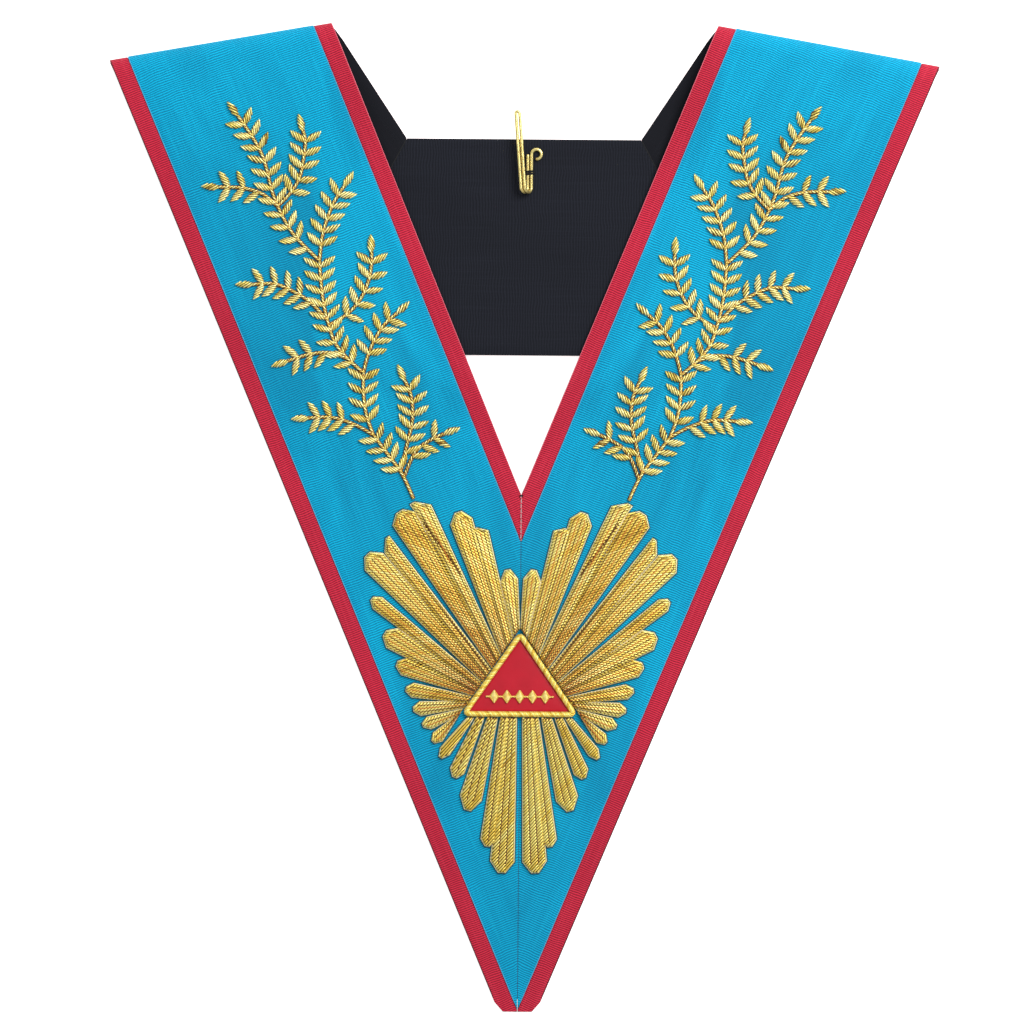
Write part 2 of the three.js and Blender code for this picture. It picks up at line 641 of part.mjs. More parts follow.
for (const [sideName, side] of [['left', -1], ['right', 1]]) {
  for (const [stripName, strip] of Object.entries(strips)) {
    const front = stripGeometry(frontStations(strip.front), strip, side);
    const back = stripGeometry(backStations(strip.back), strip, side);
    place(`${sideName}_${stripName}`, front, strip.material);
    place(`${sideName}_nape_${stripName}`, back, strip.material);
  }
  place(`${sideName}_acacia`, sprigGeometry(side), goldThread);
  for (const ray of rays) {
    place(`${sideName}_${ray.name}`, fused(ray.blades.map((blade) =>
      bladeGeometry(ray.base, blade, side))), goldThread);
  }
}
const edgingLow = faceThickness - edgingThickness;
place('back_face', yokeGeometry(innerFace, ribbonWidth - innerFace, 0, faceThickness), blueRibbon);
place('back_top_edging', yokeGeometry(0, edgingWidth, edgingLow, faceThickness), redRibbon);
place('back_bottom_edging', yokeGeometry(ribbonWidth - edgingWidth, ribbonWidth, edgingLow, faceThickness),
  redRibbon);
place('back_lining', yokeGeometry(0, ribbonWidth, plyDepth, stackThickness), blackLining);
place('triangle_rope', ropeGeometry(), goldThread);
place('triangle_patch', patchGeometry(), redSatin);
place('patch_lozenges', lozengeGeometry(), goldThread);
place('nape_hook', hookGeometry(), brassWire);

export default collar;
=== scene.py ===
"""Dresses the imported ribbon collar: woven cloth, bullion sprigs and rays, satin patch, wire hook."""
import logging
import math
import random
from dataclasses import dataclass, field
from enum import Enum
from typing import Optional, Sequence

import bmesh
import bpy
import numpy as np
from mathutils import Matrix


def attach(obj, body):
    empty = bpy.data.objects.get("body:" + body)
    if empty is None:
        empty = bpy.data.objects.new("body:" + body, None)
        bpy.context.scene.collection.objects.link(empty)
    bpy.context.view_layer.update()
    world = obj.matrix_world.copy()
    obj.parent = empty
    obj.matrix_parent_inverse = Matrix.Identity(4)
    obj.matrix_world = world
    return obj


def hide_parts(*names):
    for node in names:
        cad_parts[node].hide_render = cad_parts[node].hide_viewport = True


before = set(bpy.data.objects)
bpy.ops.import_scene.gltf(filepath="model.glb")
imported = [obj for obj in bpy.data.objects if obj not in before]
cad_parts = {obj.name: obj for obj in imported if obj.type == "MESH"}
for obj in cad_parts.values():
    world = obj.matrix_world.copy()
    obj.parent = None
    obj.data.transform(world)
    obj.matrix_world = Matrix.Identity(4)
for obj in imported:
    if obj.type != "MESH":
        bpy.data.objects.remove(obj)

log = logging.getLogger("collar")

METRE = 0.001  # one millimetre, in metres
TINY = 1e-9
MIDDLE_TONE = 0.5
Settings = dict[str, object]
Faces = list[tuple[int, ...]]


class Side(Enum):
    """Which leg of the collar, with the sign of its X."""

    LEFT = -1
    RIGHT = 1

    @property
    def label(self) -> str:
        """Name used in the nodes of this leg."""
        return self.name.lower()


# Fabric layout


def unit(angle: float) -> np.ndarray:
    """Unit vector at an angle in degrees from +X."""
    return np.array([math.cos(math.radians(angle)), math.sin(math.radians(angle))])


def heading(way: np.ndarray) -> float:
    """Angle of a direction in plan, in degrees from +X."""
    return math.degrees(math.atan2(way[1], way[0]))


def normed(ways: np.ndarray) -> np.ndarray:
    """Vectors scaled to unit length."""
    return ways / np.maximum(np.linalg.norm(ways, axis=-1, keepdims=True), TINY)


def left_of(ways: np.ndarray) -> np.ndarray:
    """Directions in plan turned a quarter to the left."""
    return np.stack([-ways[..., 1], ways[..., 0]], axis=-1)


def runs(path: np.ndarray) -> np.ndarray:
    """Length along a path up to each of its points."""
    return np.concatenate([[0.0], np.cumsum(np.linalg.norm(np.diff(path, axis=0), axis=1))])


def evened(path: np.ndarray, steps: int, closed: bool = False) -> np.ndarray:
    """A path sampled at even lengths, without its last point if it is closed."""
    run = runs(path)
    marks = np.linspace(0, run[-1], steps, endpoint=not closed)
    return np.column_stack([np.interp(marks, run, column) for column in path.T])


def eased(share: np.ndarray) -> np.ndarray:
    """Half a cosine wave that falls from 1 to 0 as the share goes from 0 to 1."""
    return (1.0 + np.cos(np.pi * np.clip(share, 0.0, 1.0))) / 2.0


def mirrored(points: np.ndarray, side: Side) -> np.ndarray:
    """Plan points of the right half put on a side."""
    return np.column_stack([side.value * points[:, 0], points[:, 1]])


@dataclass(frozen=True)
class Line:
    """A straight edge in fold coordinates, t = at + rate * s."""

    at: float
    rate: float

    def t(self, s: float) -> float:
        """Place of the edge along the fold, at a distance s from it."""
        return self.at + self.rate * s

    def shifted(self, by: float) -> "Line":
        """The same edge moved along the fold."""
        return Line(self.at + by, self.rate)

    def crossing(self, other: "Line") -> float:
        """Distance from the fold where two edges cross, or infinity where they are parallel."""
        turn = self.rate - other.rate
        return (other.at - self.at) / turn if abs(turn) > TINY else math.inf


@dataclass(frozen=True)
class Area:
    """A stretch of cloth between its inner and outer bounding edges."""

    lows: tuple[Line, ...]
    highs: tuple[Line, ...]
    slack: float = 1e-6

    def low(self, s: float) -> float:
        """Inner bound at a distance s from the fold."""
        return max(line.t(s) for line in self.lows)

    def high(self, s: float) -> float:
        """Outer bound at a distance s from the fold, never inside the inner one."""
        return max(min(line.t(s) for line in self.highs), self.low(s))

    def end(self) -> float:
        """Distance from the fold where the bounds close up."""
        closings = [low.crossing(high) for low in self.lows for high in self.highs]
        gaps = [(s, min(x.t(s) for x in self.highs) - self.low(s)) for s in closings if 0 < s < math.inf]
        return min(s for s, gap in gaps if abs(gap) < self.slack)

    def bends(self, start: float) -> list[float]:
        """Distances past a start where one bounding edge takes over from another, and the end."""
        found = [a.crossing(b) for lines in (self.lows, self.highs) for a, b in zip(lines, lines[1:])]
        end = self.end()
        return [end, *[s for s in found if max(start, 0) < s < end - self.slack]]


@dataclass
class Cut:
    """Plan of the collar as it lies, in millimetres from the notch, right half."""

    ribbon_width: float = 101.6
    leg_drop: float = 221.0
    inner_lean: float = 22.3
    outer_lean: float = 22.65
    fold_slope: float = 10.0
    point_trim: float = 21.3
    bevel_foot: float = 2.1
    bevel_rise: float = 4.5
    yoke_setback: float = 54.0
    yoke_top_half: float = 55.0
    edging_width: float = 8.6
    seam_half: float = 0.12

    def __post_init__(self) -> None:
        """Works out the corners, directions and edges of the plan."""
        run, fall = math.tan(math.radians(self.outer_lean)), math.tan(math.radians(self.fold_slope))
        # the shoulder fold, and where the outer edges of the two legs would meet
        self.fold_inner = np.array([self.leg_drop * math.tan(math.radians(self.inner_lean)), self.leg_drop])
        self.outer_apex = np.array([0.0, -self.ribbon_width / math.sin(math.radians(self.outer_lean))])
        reach = self.leg_drop - self.outer_apex[1] + self.fold_inner[0] * fall
        x = reach * run / (1.0 + run * fall)
        self.fold_outer = np.array([x, self.leg_drop - (x - self.fold_inner[0]) * fall])
        self.along_fold, self.off_fold = unit(-self.fold_slope), unit(-90.0 - self.fold_slope)
        self.leg_up, self.leg_out = unit(90.0 - self.inner_lean), unit(-self.inner_lean)
        # the point of the collar, and the middle of its length, which is the row's origin
        self.point_y = float(self.outer_apex[1]) + self.point_trim
        self.centre_y = (self.leg_drop + self.point_y) / 2.0
        # the yoke, whose mitre halves the angle between it and the back leg
        self.yoke_top = np.array([self.yoke_top_half, self.leg_drop - self.yoke_setback])
        self.back_down = normed(self.yoke_top - self.fold_inner)
        self.mitre = normed(np.array([1.0, 0.0]) + self.back_down)
        self.yoke_foot = self.yoke_top + self.mitre * (self.ribbon_width / -self.mitre[1])

        lift = np.array([0.0, self.seam_half / abs(self.mitre[0])])
        bevel_low = (self.point_trim * run - self.bevel_foot, self.point_y)
        bevel_high = ((self.point_trim + self.bevel_rise) * run, self.point_y + self.bevel_rise)
        self.front_inner = self.line(self.fold_inner, (0.0, 0.0))
        self.front_outer = self.line(self.fold_outer, self.outer_apex)
        self.back_inner = self.line(self.fold_inner, self.yoke_top)
        self.back_outer = self.line(self.fold_outer, self.yoke_foot)
        self.seam = self.line((self.seam_half, 0.0), (self.seam_half, -self.ribbon_width))
        self.point_cut = self.line((0.0, self.point_y), (self.ribbon_width, self.point_y))
        self.point_bevel = self.line(bevel_low, bevel_high)
        self.mitre_edge = self.line(self.yoke_top + lift, self.yoke_foot + lift)

    def to_fold(self, points: np.ndarray) -> tuple[np.ndarray, np.ndarray]:
        """Fold coordinates s and t of points in plan."""
        offset = points - self.fold_inner
        return offset @ self.off_fold, offset @ self.along_fold

    def from_fold(self, s: float, t: np.ndarray) -> np.ndarray:
        """Points in plan from fold coordinates."""
        return self.fold_inner + s * self.off_fold + np.outer(t, self.along_fold)

    def line(self, a: Sequence[float], b: Sequence[float]) -> Line:
        """Straight edge through two points in plan."""
        (sa, sb), (ta, tb) = self.to_fold(np.array([a, b]))
        rate = (tb - ta) / (sb - sa)
        return Line(ta - rate * sa, rate)


@dataclass
class Lie:
    """How the cloth lies: an oval roll, a drape, a lap over the yoke and a slide to the floor."""

    cut: Cut
    stack: float = 2.5
    gap: float = 0.3
    roll_reach: float = 9.0
    roll_height: float = 12.0
    drape_length: float = 78.0
    lap_margin: float = 3.5
    slide_length: float = 52.0

    def __post_init__(self) -> None:
        """Works out the lap's height and where the front clears the yoke."""
        self.lap_height = 2 * self.stack + self.gap
        foot = self.cut.yoke_foot[1]
        corner = np.array([foot * math.tan(math.radians(self.cut.inner_lean)), foot])
        reach = self.cut.to_fold(np.array([corner, self.cut.yoke_foot]))[0].max()
        self.lap_end = float(max(reach, self.roll_reach + self.drape_length)) + self.lap_margin

    def height(self, s: np.ndarray) -> np.ndarray:
        """Height of the ribbon's outer face over the front."""
        drape = eased((s - self.roll_reach) / self.drape_length)
        slide = eased((s - self.lap_end) / self.slide_length)
        low = self.stack + (self.lap_height - self.stack) * slide
        return low + (self.roll_height - self.lap_height) * drape

    def seat(self, points: np.ndarray) -> np.ndarray:
        """Height of trim laid on the front, at points in plan."""
        right = np.column_stack([np.abs(points[:, 0]), points[:, 1]])
        return self.height(self.cut.to_fold(right)[0]) + self.gap


CUT = Cut()
LIE = Lie(CUT)


# Meshes


@dataclass
class MeshDraft:
    """Corners, faces and fabric coordinates gathered for one joined mesh."""

    corners: list[np.ndarray] = field(default_factory=list)
    faces: Faces = field(default_factory=list)
    weave: list[np.ndarray] = field(default_factory=list)
    tones: list[np.ndarray] = field(default_factory=list)
    count: int = 0

    def add(self, corners: np.ndarray, faces: Faces, weave: np.ndarray, tone: float = MIDDLE_TONE) -> None:
        """Adds one closed body.

        Args:
            corners: Its corners, in millimetres.
            faces: Its faces, as indices of those corners.
            weave: Fabric coordinates of each corner of each face, in millimetres.
            tone: Shade of this body, from 0 for deep to 1 for light.
        """
        self.corners.append(corners)
        self.faces.extend(tuple(i + self.count for i in face) for face in faces)
        self.weave.append(weave)
        self.tones.append(np.full(len(corners), tone))
        self.count += len(corners)

    def add_plain(self, corners: np.ndarray, faces: Faces, weave: np.ndarray,
                  tone: float = MIDDLE_TONE) -> None:
        """Adds one closed body whose fabric coordinates are given for each corner alone."""
        self.add(corners, faces, weave[np.fromiter((i for face in faces for i in face), int)], tone)

    def piece(self, name: str, material: bpy.types.Material, slot: str, *nodes: str,
              weld: bool = False) -> bpy.types.Object:
        """Makes the Blender object on the root body.

        Args:
            name: Name of the piece.
            material: Its finish.
            slot: Not used.
            *nodes: The CAD nodes that it stands for.
            weld: Whether coincident corners are merged.

        Returns:
            The object, at the origin of the row's frame.
        """
        corners = np.concatenate(self.corners)
        corners[:, 1] -= CUT.centre_y
        mesh = bpy.data.meshes.new(name)
        mesh.from_pydata((corners * METRE).tolist(), [], self.faces)
        layer = mesh.uv_layers.new(name="weave")
        layer.data.foreach_set("uv", np.concatenate(self.weave).astype(np.float32).ravel())
        tone = mesh.attributes.new("tone", "FLOAT", "POINT")
        tone.data.foreach_set("value", np.concatenate(self.tones).astype(np.float32))
        mesh.polygons.foreach_set("use_smooth", np.ones(len(mesh.polygons), bool))
        mesh.materials.append(material)
        mesh.update()
        piece = bpy.data.objects.new(name, mesh)
        bpy.context.scene.collection.objects.link(piece)
        if weld:
            merge_corners(piece)
        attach(piece, "root")
        if nodes:
            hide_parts(*nodes)
        log.info("%s: %d faces", name, len(mesh.polygons))
        return piece


def merge_corners(piece: bpy.types.Object, reach: float = 0.004, least: float = 0.002) -> None:
    """Merges corners within reach of each other and drops faces of no area."""
    work = bmesh.new()
    work.from_mesh(piece.data)
    bmesh.ops.remove_doubles(work, verts=work.verts, dist=reach * METRE)
    bmesh.ops.dissolve_degenerate(work, edges=work.edges, dist=least * METRE)
    bmesh.ops.recalc_face_normals(work, faces=work.faces)
    work.to_mesh(piece.data)
    work.free()
    piece.data.update()


def tube_faces(rings: int, sides: int, closed: bool) -> Faces:
    """Faces of a tube through equal rings, with its two ends capped unless it is closed."""
    faces = [(i * sides + j, (i + 1) % rings * sides + j,
              (i + 1) % rings * sides + (j + 1) % sides, i * sides + (j + 1) % sides)
             for i in range(rings if closed else rings - 1) for j in range(sides)]
    if not closed:
        faces += [tuple(range(sides)), tuple(range(rings * sides - 1, (rings - 1) * sides - 1, -1))]
    return faces


@dataclass(frozen=True)
class Thread:
    """A round or slightly flattened thread, laid as a tube."""

    radius: float
    sides: int = 6
    flatness: float = 1.0
    taper: float = 0.45

    def lay(self, draft: MeshDraft, path: np.ndarray, tone: float = MIDDLE_TONE,
            closed: bool = False) -> None:
        """Adds the thread along a path.

        Args:
            draft: Mesh that the thread joins.
            path: Its centre line, in millimetres.
            tone: Its shade.
            closed: Whether the path is a loop.
        """
        ahead = np.roll(path, -1, axis=0) if closed else np.vstack([path[1:], path[-1:]])
        behind = np.roll(path, 1, axis=0) if closed else np.vstack([path[:1], path[:-1]])
        way = normed(ahead - behind)
        across = normed(np.column_stack([left_of(way), np.zeros(len(path))]))
        up = np.cross(way, across)
        radius = np.full(len(path), self.radius)
        if not closed:
            radius[[0, -1]] *= self.taper
        turns = np.arange(self.sides) * 2 * np.pi / self.sides
        ring = (np.cos(turns)[None, :, None] * across[:, None, :]
                + self.flatness * np.sin(turns)[None, :, None] * up[:, None, :])
        corners = (path[:, None, :] + radius[:, None, None] * ring).reshape(-1, 3)
        weave = np.column_stack([np.repeat(runs(path), self.sides), np.tile(turns * self.radius, len(path))])
        draft.add_plain(corners, tube_faces(len(path), self.sides, closed), weave, tone)

    def rest(self, draft: MeshDraft, plan: np.ndarray, rise: object, tone: float = MIDDLE_TONE,
             side: Side = Side.RIGHT, closed: bool = False) -> None:
        """Lays the thread on the front of the collar.

        Args:
            draft: Mesh that the thread joins.
            plan: Its centre line in plan, right half.
            rise: Height of its centre over the cloth, one for all or one for each point.
            tone: Its shade.
            side: The leg that it lies on.
            closed: Whether the path is a loop.
        """
        place = mirrored(plan, side)
        self.lay(draft, np.column_stack([place, LIE.seat(place) + rise]), tone, closed)

    def stitch(self, draft: MeshDraft, middle: Sequence[float], half: Sequence[float], foot: float,
               crown: float, side: Side = Side.RIGHT, steps: int = 6) -> None:
        """Sews one short arched stitch.

        Args:
            draft: Mesh that the stitch joins.
            middle: Its middle in plan, right half.
            half: From its middle to one end, in plan.
            foot: Height of its ends over the cloth.
            crown: Height of its middle over its ends.
            side: The leg that it lies on.
            steps: Points along it.
        """
        share = np.linspace(-1, 1, steps)
        plan = np.array(middle) + np.outer(share, half)
        self.rest(draft, plan, foot + crown * np.sqrt(np.clip(1 - share ** 2, 0, 1)), side=side)

    def twist(self, draft: MeshDraft, plan: np.ndarray, phase: np.ndarray, offset: Sequence[float],
              level: float, tones: Sequence[float], side: Side = Side.RIGHT, closed: bool = False) -> None:
        """Twists a cord from as many plies as there are tones, and lays it on the front.

        Args:
            draft: Mesh that the cord joins.
            plan: Its centre line in plan, right half.
            phase: Turn of its first ply at each point.
            offset: How far the plies stand off the centre line, across and up.
            level: Height of its centre over the cloth.
            tones: Shade of each ply.
            side: The leg that it lies on.
            closed: Whether the path is a loop.
        """
        ahead = np.roll(plan, -1, axis=0) - np.roll(plan, 1, axis=0) if closed else np.gradient(plan, axis=0)
        out = left_of(normed(ahead))
        for ply, tone in enumerate(tones):
            turn = phase + 2 * np.pi * ply / len(tones)
            place = plan + out * (offset[0] * np.cos(turn))[:, None]
            self.rest(draft, place, level + offset[1] * np.sin(turn), tone, side, closed)


@dataclass(frozen=True)
class ClothShell:
    """A ply of cloth with rolled edges, lofted through rows across it."""

    depth: float  # of its outer side below the face's
    thickness: float
    edge_radius: float
    columns: int
    edge_steps: int = 4

    def ring(self, width: float) -> np.ndarray:
        """Section of the ply as rows of (distance from the low edge, depth in the ply)."""
        r = min(self.edge_radius, self.thickness * 0.49, max(width, 1e-4) * 0.49)
        turn = np.linspace(0, np.pi / 2, self.edge_steps)
        edge = np.column_stack([r * (1 - np.cos(turn)), r * (1 - np.sin(turn))])
        flat = np.linspace(r, width - r, self.columns)[1:-1]
        top = np.vstack([edge, np.column_stack([flat, np.zeros(len(flat))]),
                         np.column_stack([width - edge[::-1, 0], edge[::-1, 1]])])
        bottom = np.column_stack([top[::-1, 0], self.thickness - top[::-1, 1]])
        return np.vstack([top, bottom])


def loft(rings: Sequence[np.ndarray], charts: Sequence[tuple[np.ndarray, np.ndarray]],
         turned: bool = False) -> MeshDraft:
    """Skins a ply through its rings.

    Args:
        rings: Corners of each ring, in millimetres.
        charts: For each span, the fabric coordinates of its first and second ring.
        turned: Whether the faces are turned over.

    Returns:
        The draft of the closed ply.
    """
    size, order = len(rings[0]), -1 if turned else 1
    faces: Faces = []
    weave: list[np.ndarray] = []
    for i, chart in enumerate(charts):
        for j in range(size):
            k = (j + 1) % size
            quad = ((0, j), (1, j), (1, k), (0, k))[::order]
            faces.append(tuple((i + a) * size + b for a, b in quad))
            weave.extend(chart[a][b] for a, b in quad)
    last = (len(rings) - 1) * size
    for base, chart, step in ((0, charts[0][0], order), (last, charts[-1][1], -order)):
        faces.append(tuple(base + j for j in range(size)[::step]))
        weave.extend(chart[::step])
    draft = MeshDraft()
    draft.add(np.concatenate(rings), faces, np.array(weave))
    return draft


# Finishes


WEAVE = {"uv_map": "weave"}
FLAT = {"noise_dimensions": "2D"}
COLOURS = {"data_type": "RGBA"}
TIMES, PLUS, SINE, TIMES_PLUS = ({"operation": name} for name in ("MULTIPLY", "ADD", "SINE", "MULTIPLY_ADD"))
MIXED = 2  # the colour output of a mix, and the factor output of an attribute
OBJECT_PLACE = 3


def linear(colour: int) -> tuple[float, float, float, float]:
    """Linear RGBA of an sRGB hex colour."""
    parts = [((colour >> shift) & 255) / 255.0 for shift in (16, 8, 0)]
    red, green, blue = (c / 12.92 if c <= 0.04045 else ((c + 0.055) / 1.055) ** 2.4 for c in parts)
    return (red, green, blue, 1.0)


@dataclass
class Recipe:
    """One material's node tree while it is being written."""

    name: str

    def __post_init__(self) -> None:
        """Starts an empty material."""
        self.material = bpy.data.materials.new(self.name)
        self.material.use_nodes = True
        self.tree = self.material.node_tree
        self.tree.nodes.clear()

    def add(self, kind: str, settings: Optional[Settings] = None, out: int = 0,
            **inputs: object) -> bpy.types.NodeSocket:
        """Adds a node.

        Args:
            kind: Its Blender type, without the ShaderNode prefix.
            settings: Its properties.
            out: Number of the wanted output.
            **inputs: Values or output sockets for its inputs. A name's spaces are underscores, and
                a name such as in_0 is the number of an input.

        Returns:
            The wanted output.
        """
        node = self.tree.nodes.new("ShaderNode" + kind)
        for key, value in (settings or {}).items():
            setattr(node, key, value)
        for key, value in inputs.items():
            socket = node.inputs[int(key[3:]) if key.startswith("in_") else key.replace("_", " ")]
            if isinstance(value, bpy.types.NodeSocket):
                self.tree.links.new(value, socket)
            else:
                socket.default_value = value
        return node.outputs[out]

    def finish(self, **inputs: object) -> bpy.types.Material:
        """Ends the material with a principled shader."""
        shader = self.add("BsdfPrincipled", **inputs)
        self.tree.links.new(shader, self.tree.nodes.new("ShaderNodeOutputMaterial").inputs[0])
        return self.material


@dataclass(frozen=True)
class RibbedRibbon:
    """Woven rayon grosgrain ribbon, with ribs across its length and fine warp streaks along it."""

    name: str
    light: int
    dark: int
    streak: int
    rib_pitch: float
    rib_depth: float
    roughness: float
    sheen: float = 0.02
    moire: float = 0.4

    def material(self) -> bpy.types.Material:
        """Builds the finish: rib shade and bump, warp streaks and a soft watered change of tone."""
        recipe = Recipe(self.name)
        place = recipe.add("UVMap", WEAVE)
        along = recipe.add("SeparateXYZ", out=1, Vector=place)
        # each rib wanders a little, so that the rows never look ruled
        wander = recipe.add("TexNoise", FLAT, Vector=place, Scale=0.09, Detail=2.0)
        course = recipe.add("Math", TIMES_PLUS, in_0=wander, in_1=self.rib_pitch * 1.6, in_2=along)
        phase = recipe.add("Math", TIMES, in_0=course, in_1=2 * math.pi / self.rib_pitch)
        wave = recipe.add("Math", TIMES_PLUS, in_0=recipe.add("Math", SINE, in_0=phase), in_1=0.5, in_2=0.5)
        # warp threads run along the ribbon, about 0.6 mm wide and 40 mm before their shade changes
        stretched = recipe.add("Mapping", Vector=place, Scale=(1.7, 0.025, 1.0))
        warp = recipe.add("TexNoise", FLAT, Vector=stretched, Scale=1.0, Detail=3.0, Roughness=0.65)
        # watered sheen: wide soft patches, longer along the ribbon
        wide = recipe.add("Mapping", Vector=place, Scale=(0.03, 0.011, 1.0))
        water = recipe.add("TexNoise", FLAT, Vector=wide, Scale=1.0, Detail=2.0, Distortion=0.6)
        grain = recipe.add("TexNoise", FLAT, Vector=place, Scale=1.3, Detail=2.0)
        weft = recipe.add("Math", TIMES, in_0=grain, in_1=0.3)
        shade = recipe.add("Math", TIMES_PLUS, in_0=wave, in_1=0.7, in_2=weft)
        body = recipe.add("Mix", COLOURS, MIXED, in_0=shade, in_6=linear(self.dark), in_7=linear(self.light))
        threads = recipe.add("MapRange", Value=warp, From_Min=0.5, From_Max=0.7, To_Max=0.18)
        body = recipe.add("Mix", COLOURS, MIXED, in_0=threads, in_6=body, in_7=linear(self.streak))
        gloss = recipe.add("MapRange", Value=water, From_Min=0.35, From_Max=0.68, To_Max=self.moire)
        body = recipe.add("Mix", COLOURS, MIXED, in_0=gloss, in_6=body, in_7=linear(self.dark))
        streaks = recipe.add("Math", TIMES, in_0=warp, in_1=0.35)
        height = recipe.add("Math", PLUS, in_0=wave, in_1=streaks)
        bump = recipe.add("Bump", Strength=0.6, Distance=self.rib_depth * METRE, Height=height)
        return recipe.finish(Base_Color=body, Roughness=self.roughness, Normal=bump,
                             Specular_IOR_Level=0.14, Sheen_Weight=self.sheen, Sheen_Roughness=0.45)


@dataclass(frozen=True)
class BullionWire:
    """Coiled gilt wire, cut and laid as embroidery: bright crowns, orange-brown flanks."""

    name: str
    light: int
    middle: int
    deep: int
    metallic: float = 0.46
    roughness: float = 0.36
    coil_pitch: float = 0.62  # real coils are 0.2 mm apart, too fine to show, so these are coarser
    coil_painted_light_share: float = 0.08

    def material(self) -> bpy.types.Material:
        """Builds the finish from the coil's turns, painted lighter and darker as highlight and shade, each
        strand's own tone and some tarnish.
        """
        recipe = Recipe(self.name)
        run, round_it, _ = recipe.add("SeparateXYZ", Vector=recipe.add("UVMap", WEAVE)).node.outputs
        slant = recipe.add("Math", PLUS, in_0=run, in_1=round_it)
        phase = recipe.add("Math", TIMES, in_0=slant, in_1=2 * math.pi / self.coil_pitch)
        coil = recipe.add("Math", TIMES_PLUS, in_0=recipe.add("Math", SINE, in_0=phase), in_1=0.5, in_2=0.5)
        tone = recipe.add("Attribute", {"attribute_name": "tone"}, MIXED)
        spot = recipe.add("TexCoord", out=OBJECT_PLACE)
        tarnish = recipe.add("TexNoise", Vector=spot, Scale=900.0, Detail=3.0)
        # the coil's turns lighten and darken the colour: painted highlight and shade on each turn, besides
        # their bump
        shade = recipe.add("Math", TIMES, in_0=coil, in_1=self.coil_painted_light_share)
        shade = recipe.add("Math", TIMES_PLUS, in_0=tone, in_1=0.75, in_2=shade)
        shade = recipe.add("Math", TIMES_PLUS, in_0=tarnish, in_1=0.35, in_2=shade)
        ramp = recipe.add("ValToRGB", in_0=shade)
        stops = ramp.node.color_ramp.elements
        stops[0].position, stops[0].color = 0.22, linear(self.deep)
        stops[1].position, stops[1].color = 0.92, linear(self.light)
        stops.new(0.52).color = linear(self.middle)
        bump = recipe.add("Bump", Strength=0.2, Distance=0.12 * METRE, Height=coil)
        return recipe.finish(Base_Color=ramp, Metallic=self.metallic, Roughness=self.roughness, Normal=bump)


@dataclass(frozen=True)
class SpunThread:
    """Spun cotton or silk sewing thread: matt, with the twist of its plies showing as fine slants."""

    name: str
    colour: int
    shadow: int
    roughness: float = 0.75
    ply_pitch: float = 0.7

    def material(self) -> bpy.types.Material:
        """Builds the finish from the twist of the plies."""
        recipe = Recipe(self.name)
        run, round_it, _ = recipe.add("SeparateXYZ", Vector=recipe.add("UVMap", WEAVE)).node.outputs
        slant = recipe.add("Math", TIMES_PLUS, in_0=round_it, in_1=1.4, in_2=run)
        phase = recipe.add("Math", TIMES, in_0=slant, in_1=2 * math.pi / self.ply_pitch)
        share = recipe.add("MapRange", Value=recipe.add("Math", SINE, in_0=phase), From_Min=-1.0)
        colour = recipe.add("Mix", COLOURS, MIXED, in_0=share, in_6=linear(self.shadow),
                            in_7=linear(self.colour))
        bump = recipe.add("Bump", Strength=0.4, Distance=0.08 * METRE, Height=share)
        return recipe.finish(Base_Color=colour, Roughness=self.roughness, Normal=bump)


@dataclass(frozen=True)
class PaddingFeltPaintedShade:
    """Gold-brown felt padding under the bullion, kept dark as painted shade: it shows only as dark lines of
    shade between strands.
    """

    name: str = "padding_felt_painted_shade_brown"
    colour: int = 0x7A4E16
    shadow: int = 0x4A2C0A

    def material(self) -> bpy.types.Material:
        """Builds the finish from felt fibres at about 0.3 mm."""
        recipe = Recipe(self.name)
        spot = recipe.add("TexCoord", out=OBJECT_PLACE)
        fibre = recipe.add("TexNoise", Vector=spot, Scale=1800.0, Detail=4.0, Roughness=0.7)
        colour = recipe.add("Mix", COLOURS, MIXED, in_0=fibre, in_6=linear(self.shadow),
                            in_7=linear(self.colour))
        bump = recipe.add("Bump", Strength=0.5, Distance=0.15 * METRE, Height=fibre)
        return recipe.finish(Base_Color=colour, Roughness=0.8, Metallic=0.25, Normal=bump)


@dataclass(frozen=True)
class SatinPatch:
    """Woven polyester satin: a smooth float face with a soft gloss and faint creases."""

    name: str = "satin_red"
    colour: int = 0xC6142C
    shadow: int = 0xA20E20

    def material(self) -> bpy.types.Material:
        """Builds the finish from satin floats at 0.25 mm and slow waves of the cloth."""
        recipe = Recipe(self.name)
        spot = recipe.add("TexCoord", out=OBJECT_PLACE)
        floats = recipe.add("TexWave", {"bands_direction": "Y"}, 1, Vector=spot, Scale=1250.0,
                            Distortion=1.5, Detail=2.0)
        slow = recipe.add("TexNoise", Vector=spot, Scale=90.0, Detail=2.0)
        share = recipe.add("Math", TIMES, in_0=floats, in_1=0.25)
        share = recipe.add("Math", TIMES_PLUS, in_0=slow, in_1=0.75, in_2=share)
        colour = recipe.add("Mix", COLOURS, MIXED, in_0=share, in_6=linear(self.shadow),
                            in_7=linear(self.colour))
        bump = recipe.add("Bump", Strength=0.25, Distance=0.3 * METRE, Height=share)
        return recipe.finish(Base_Color=colour, Roughness=0.42, Normal=bump, Specular_IOR_Level=0.25)


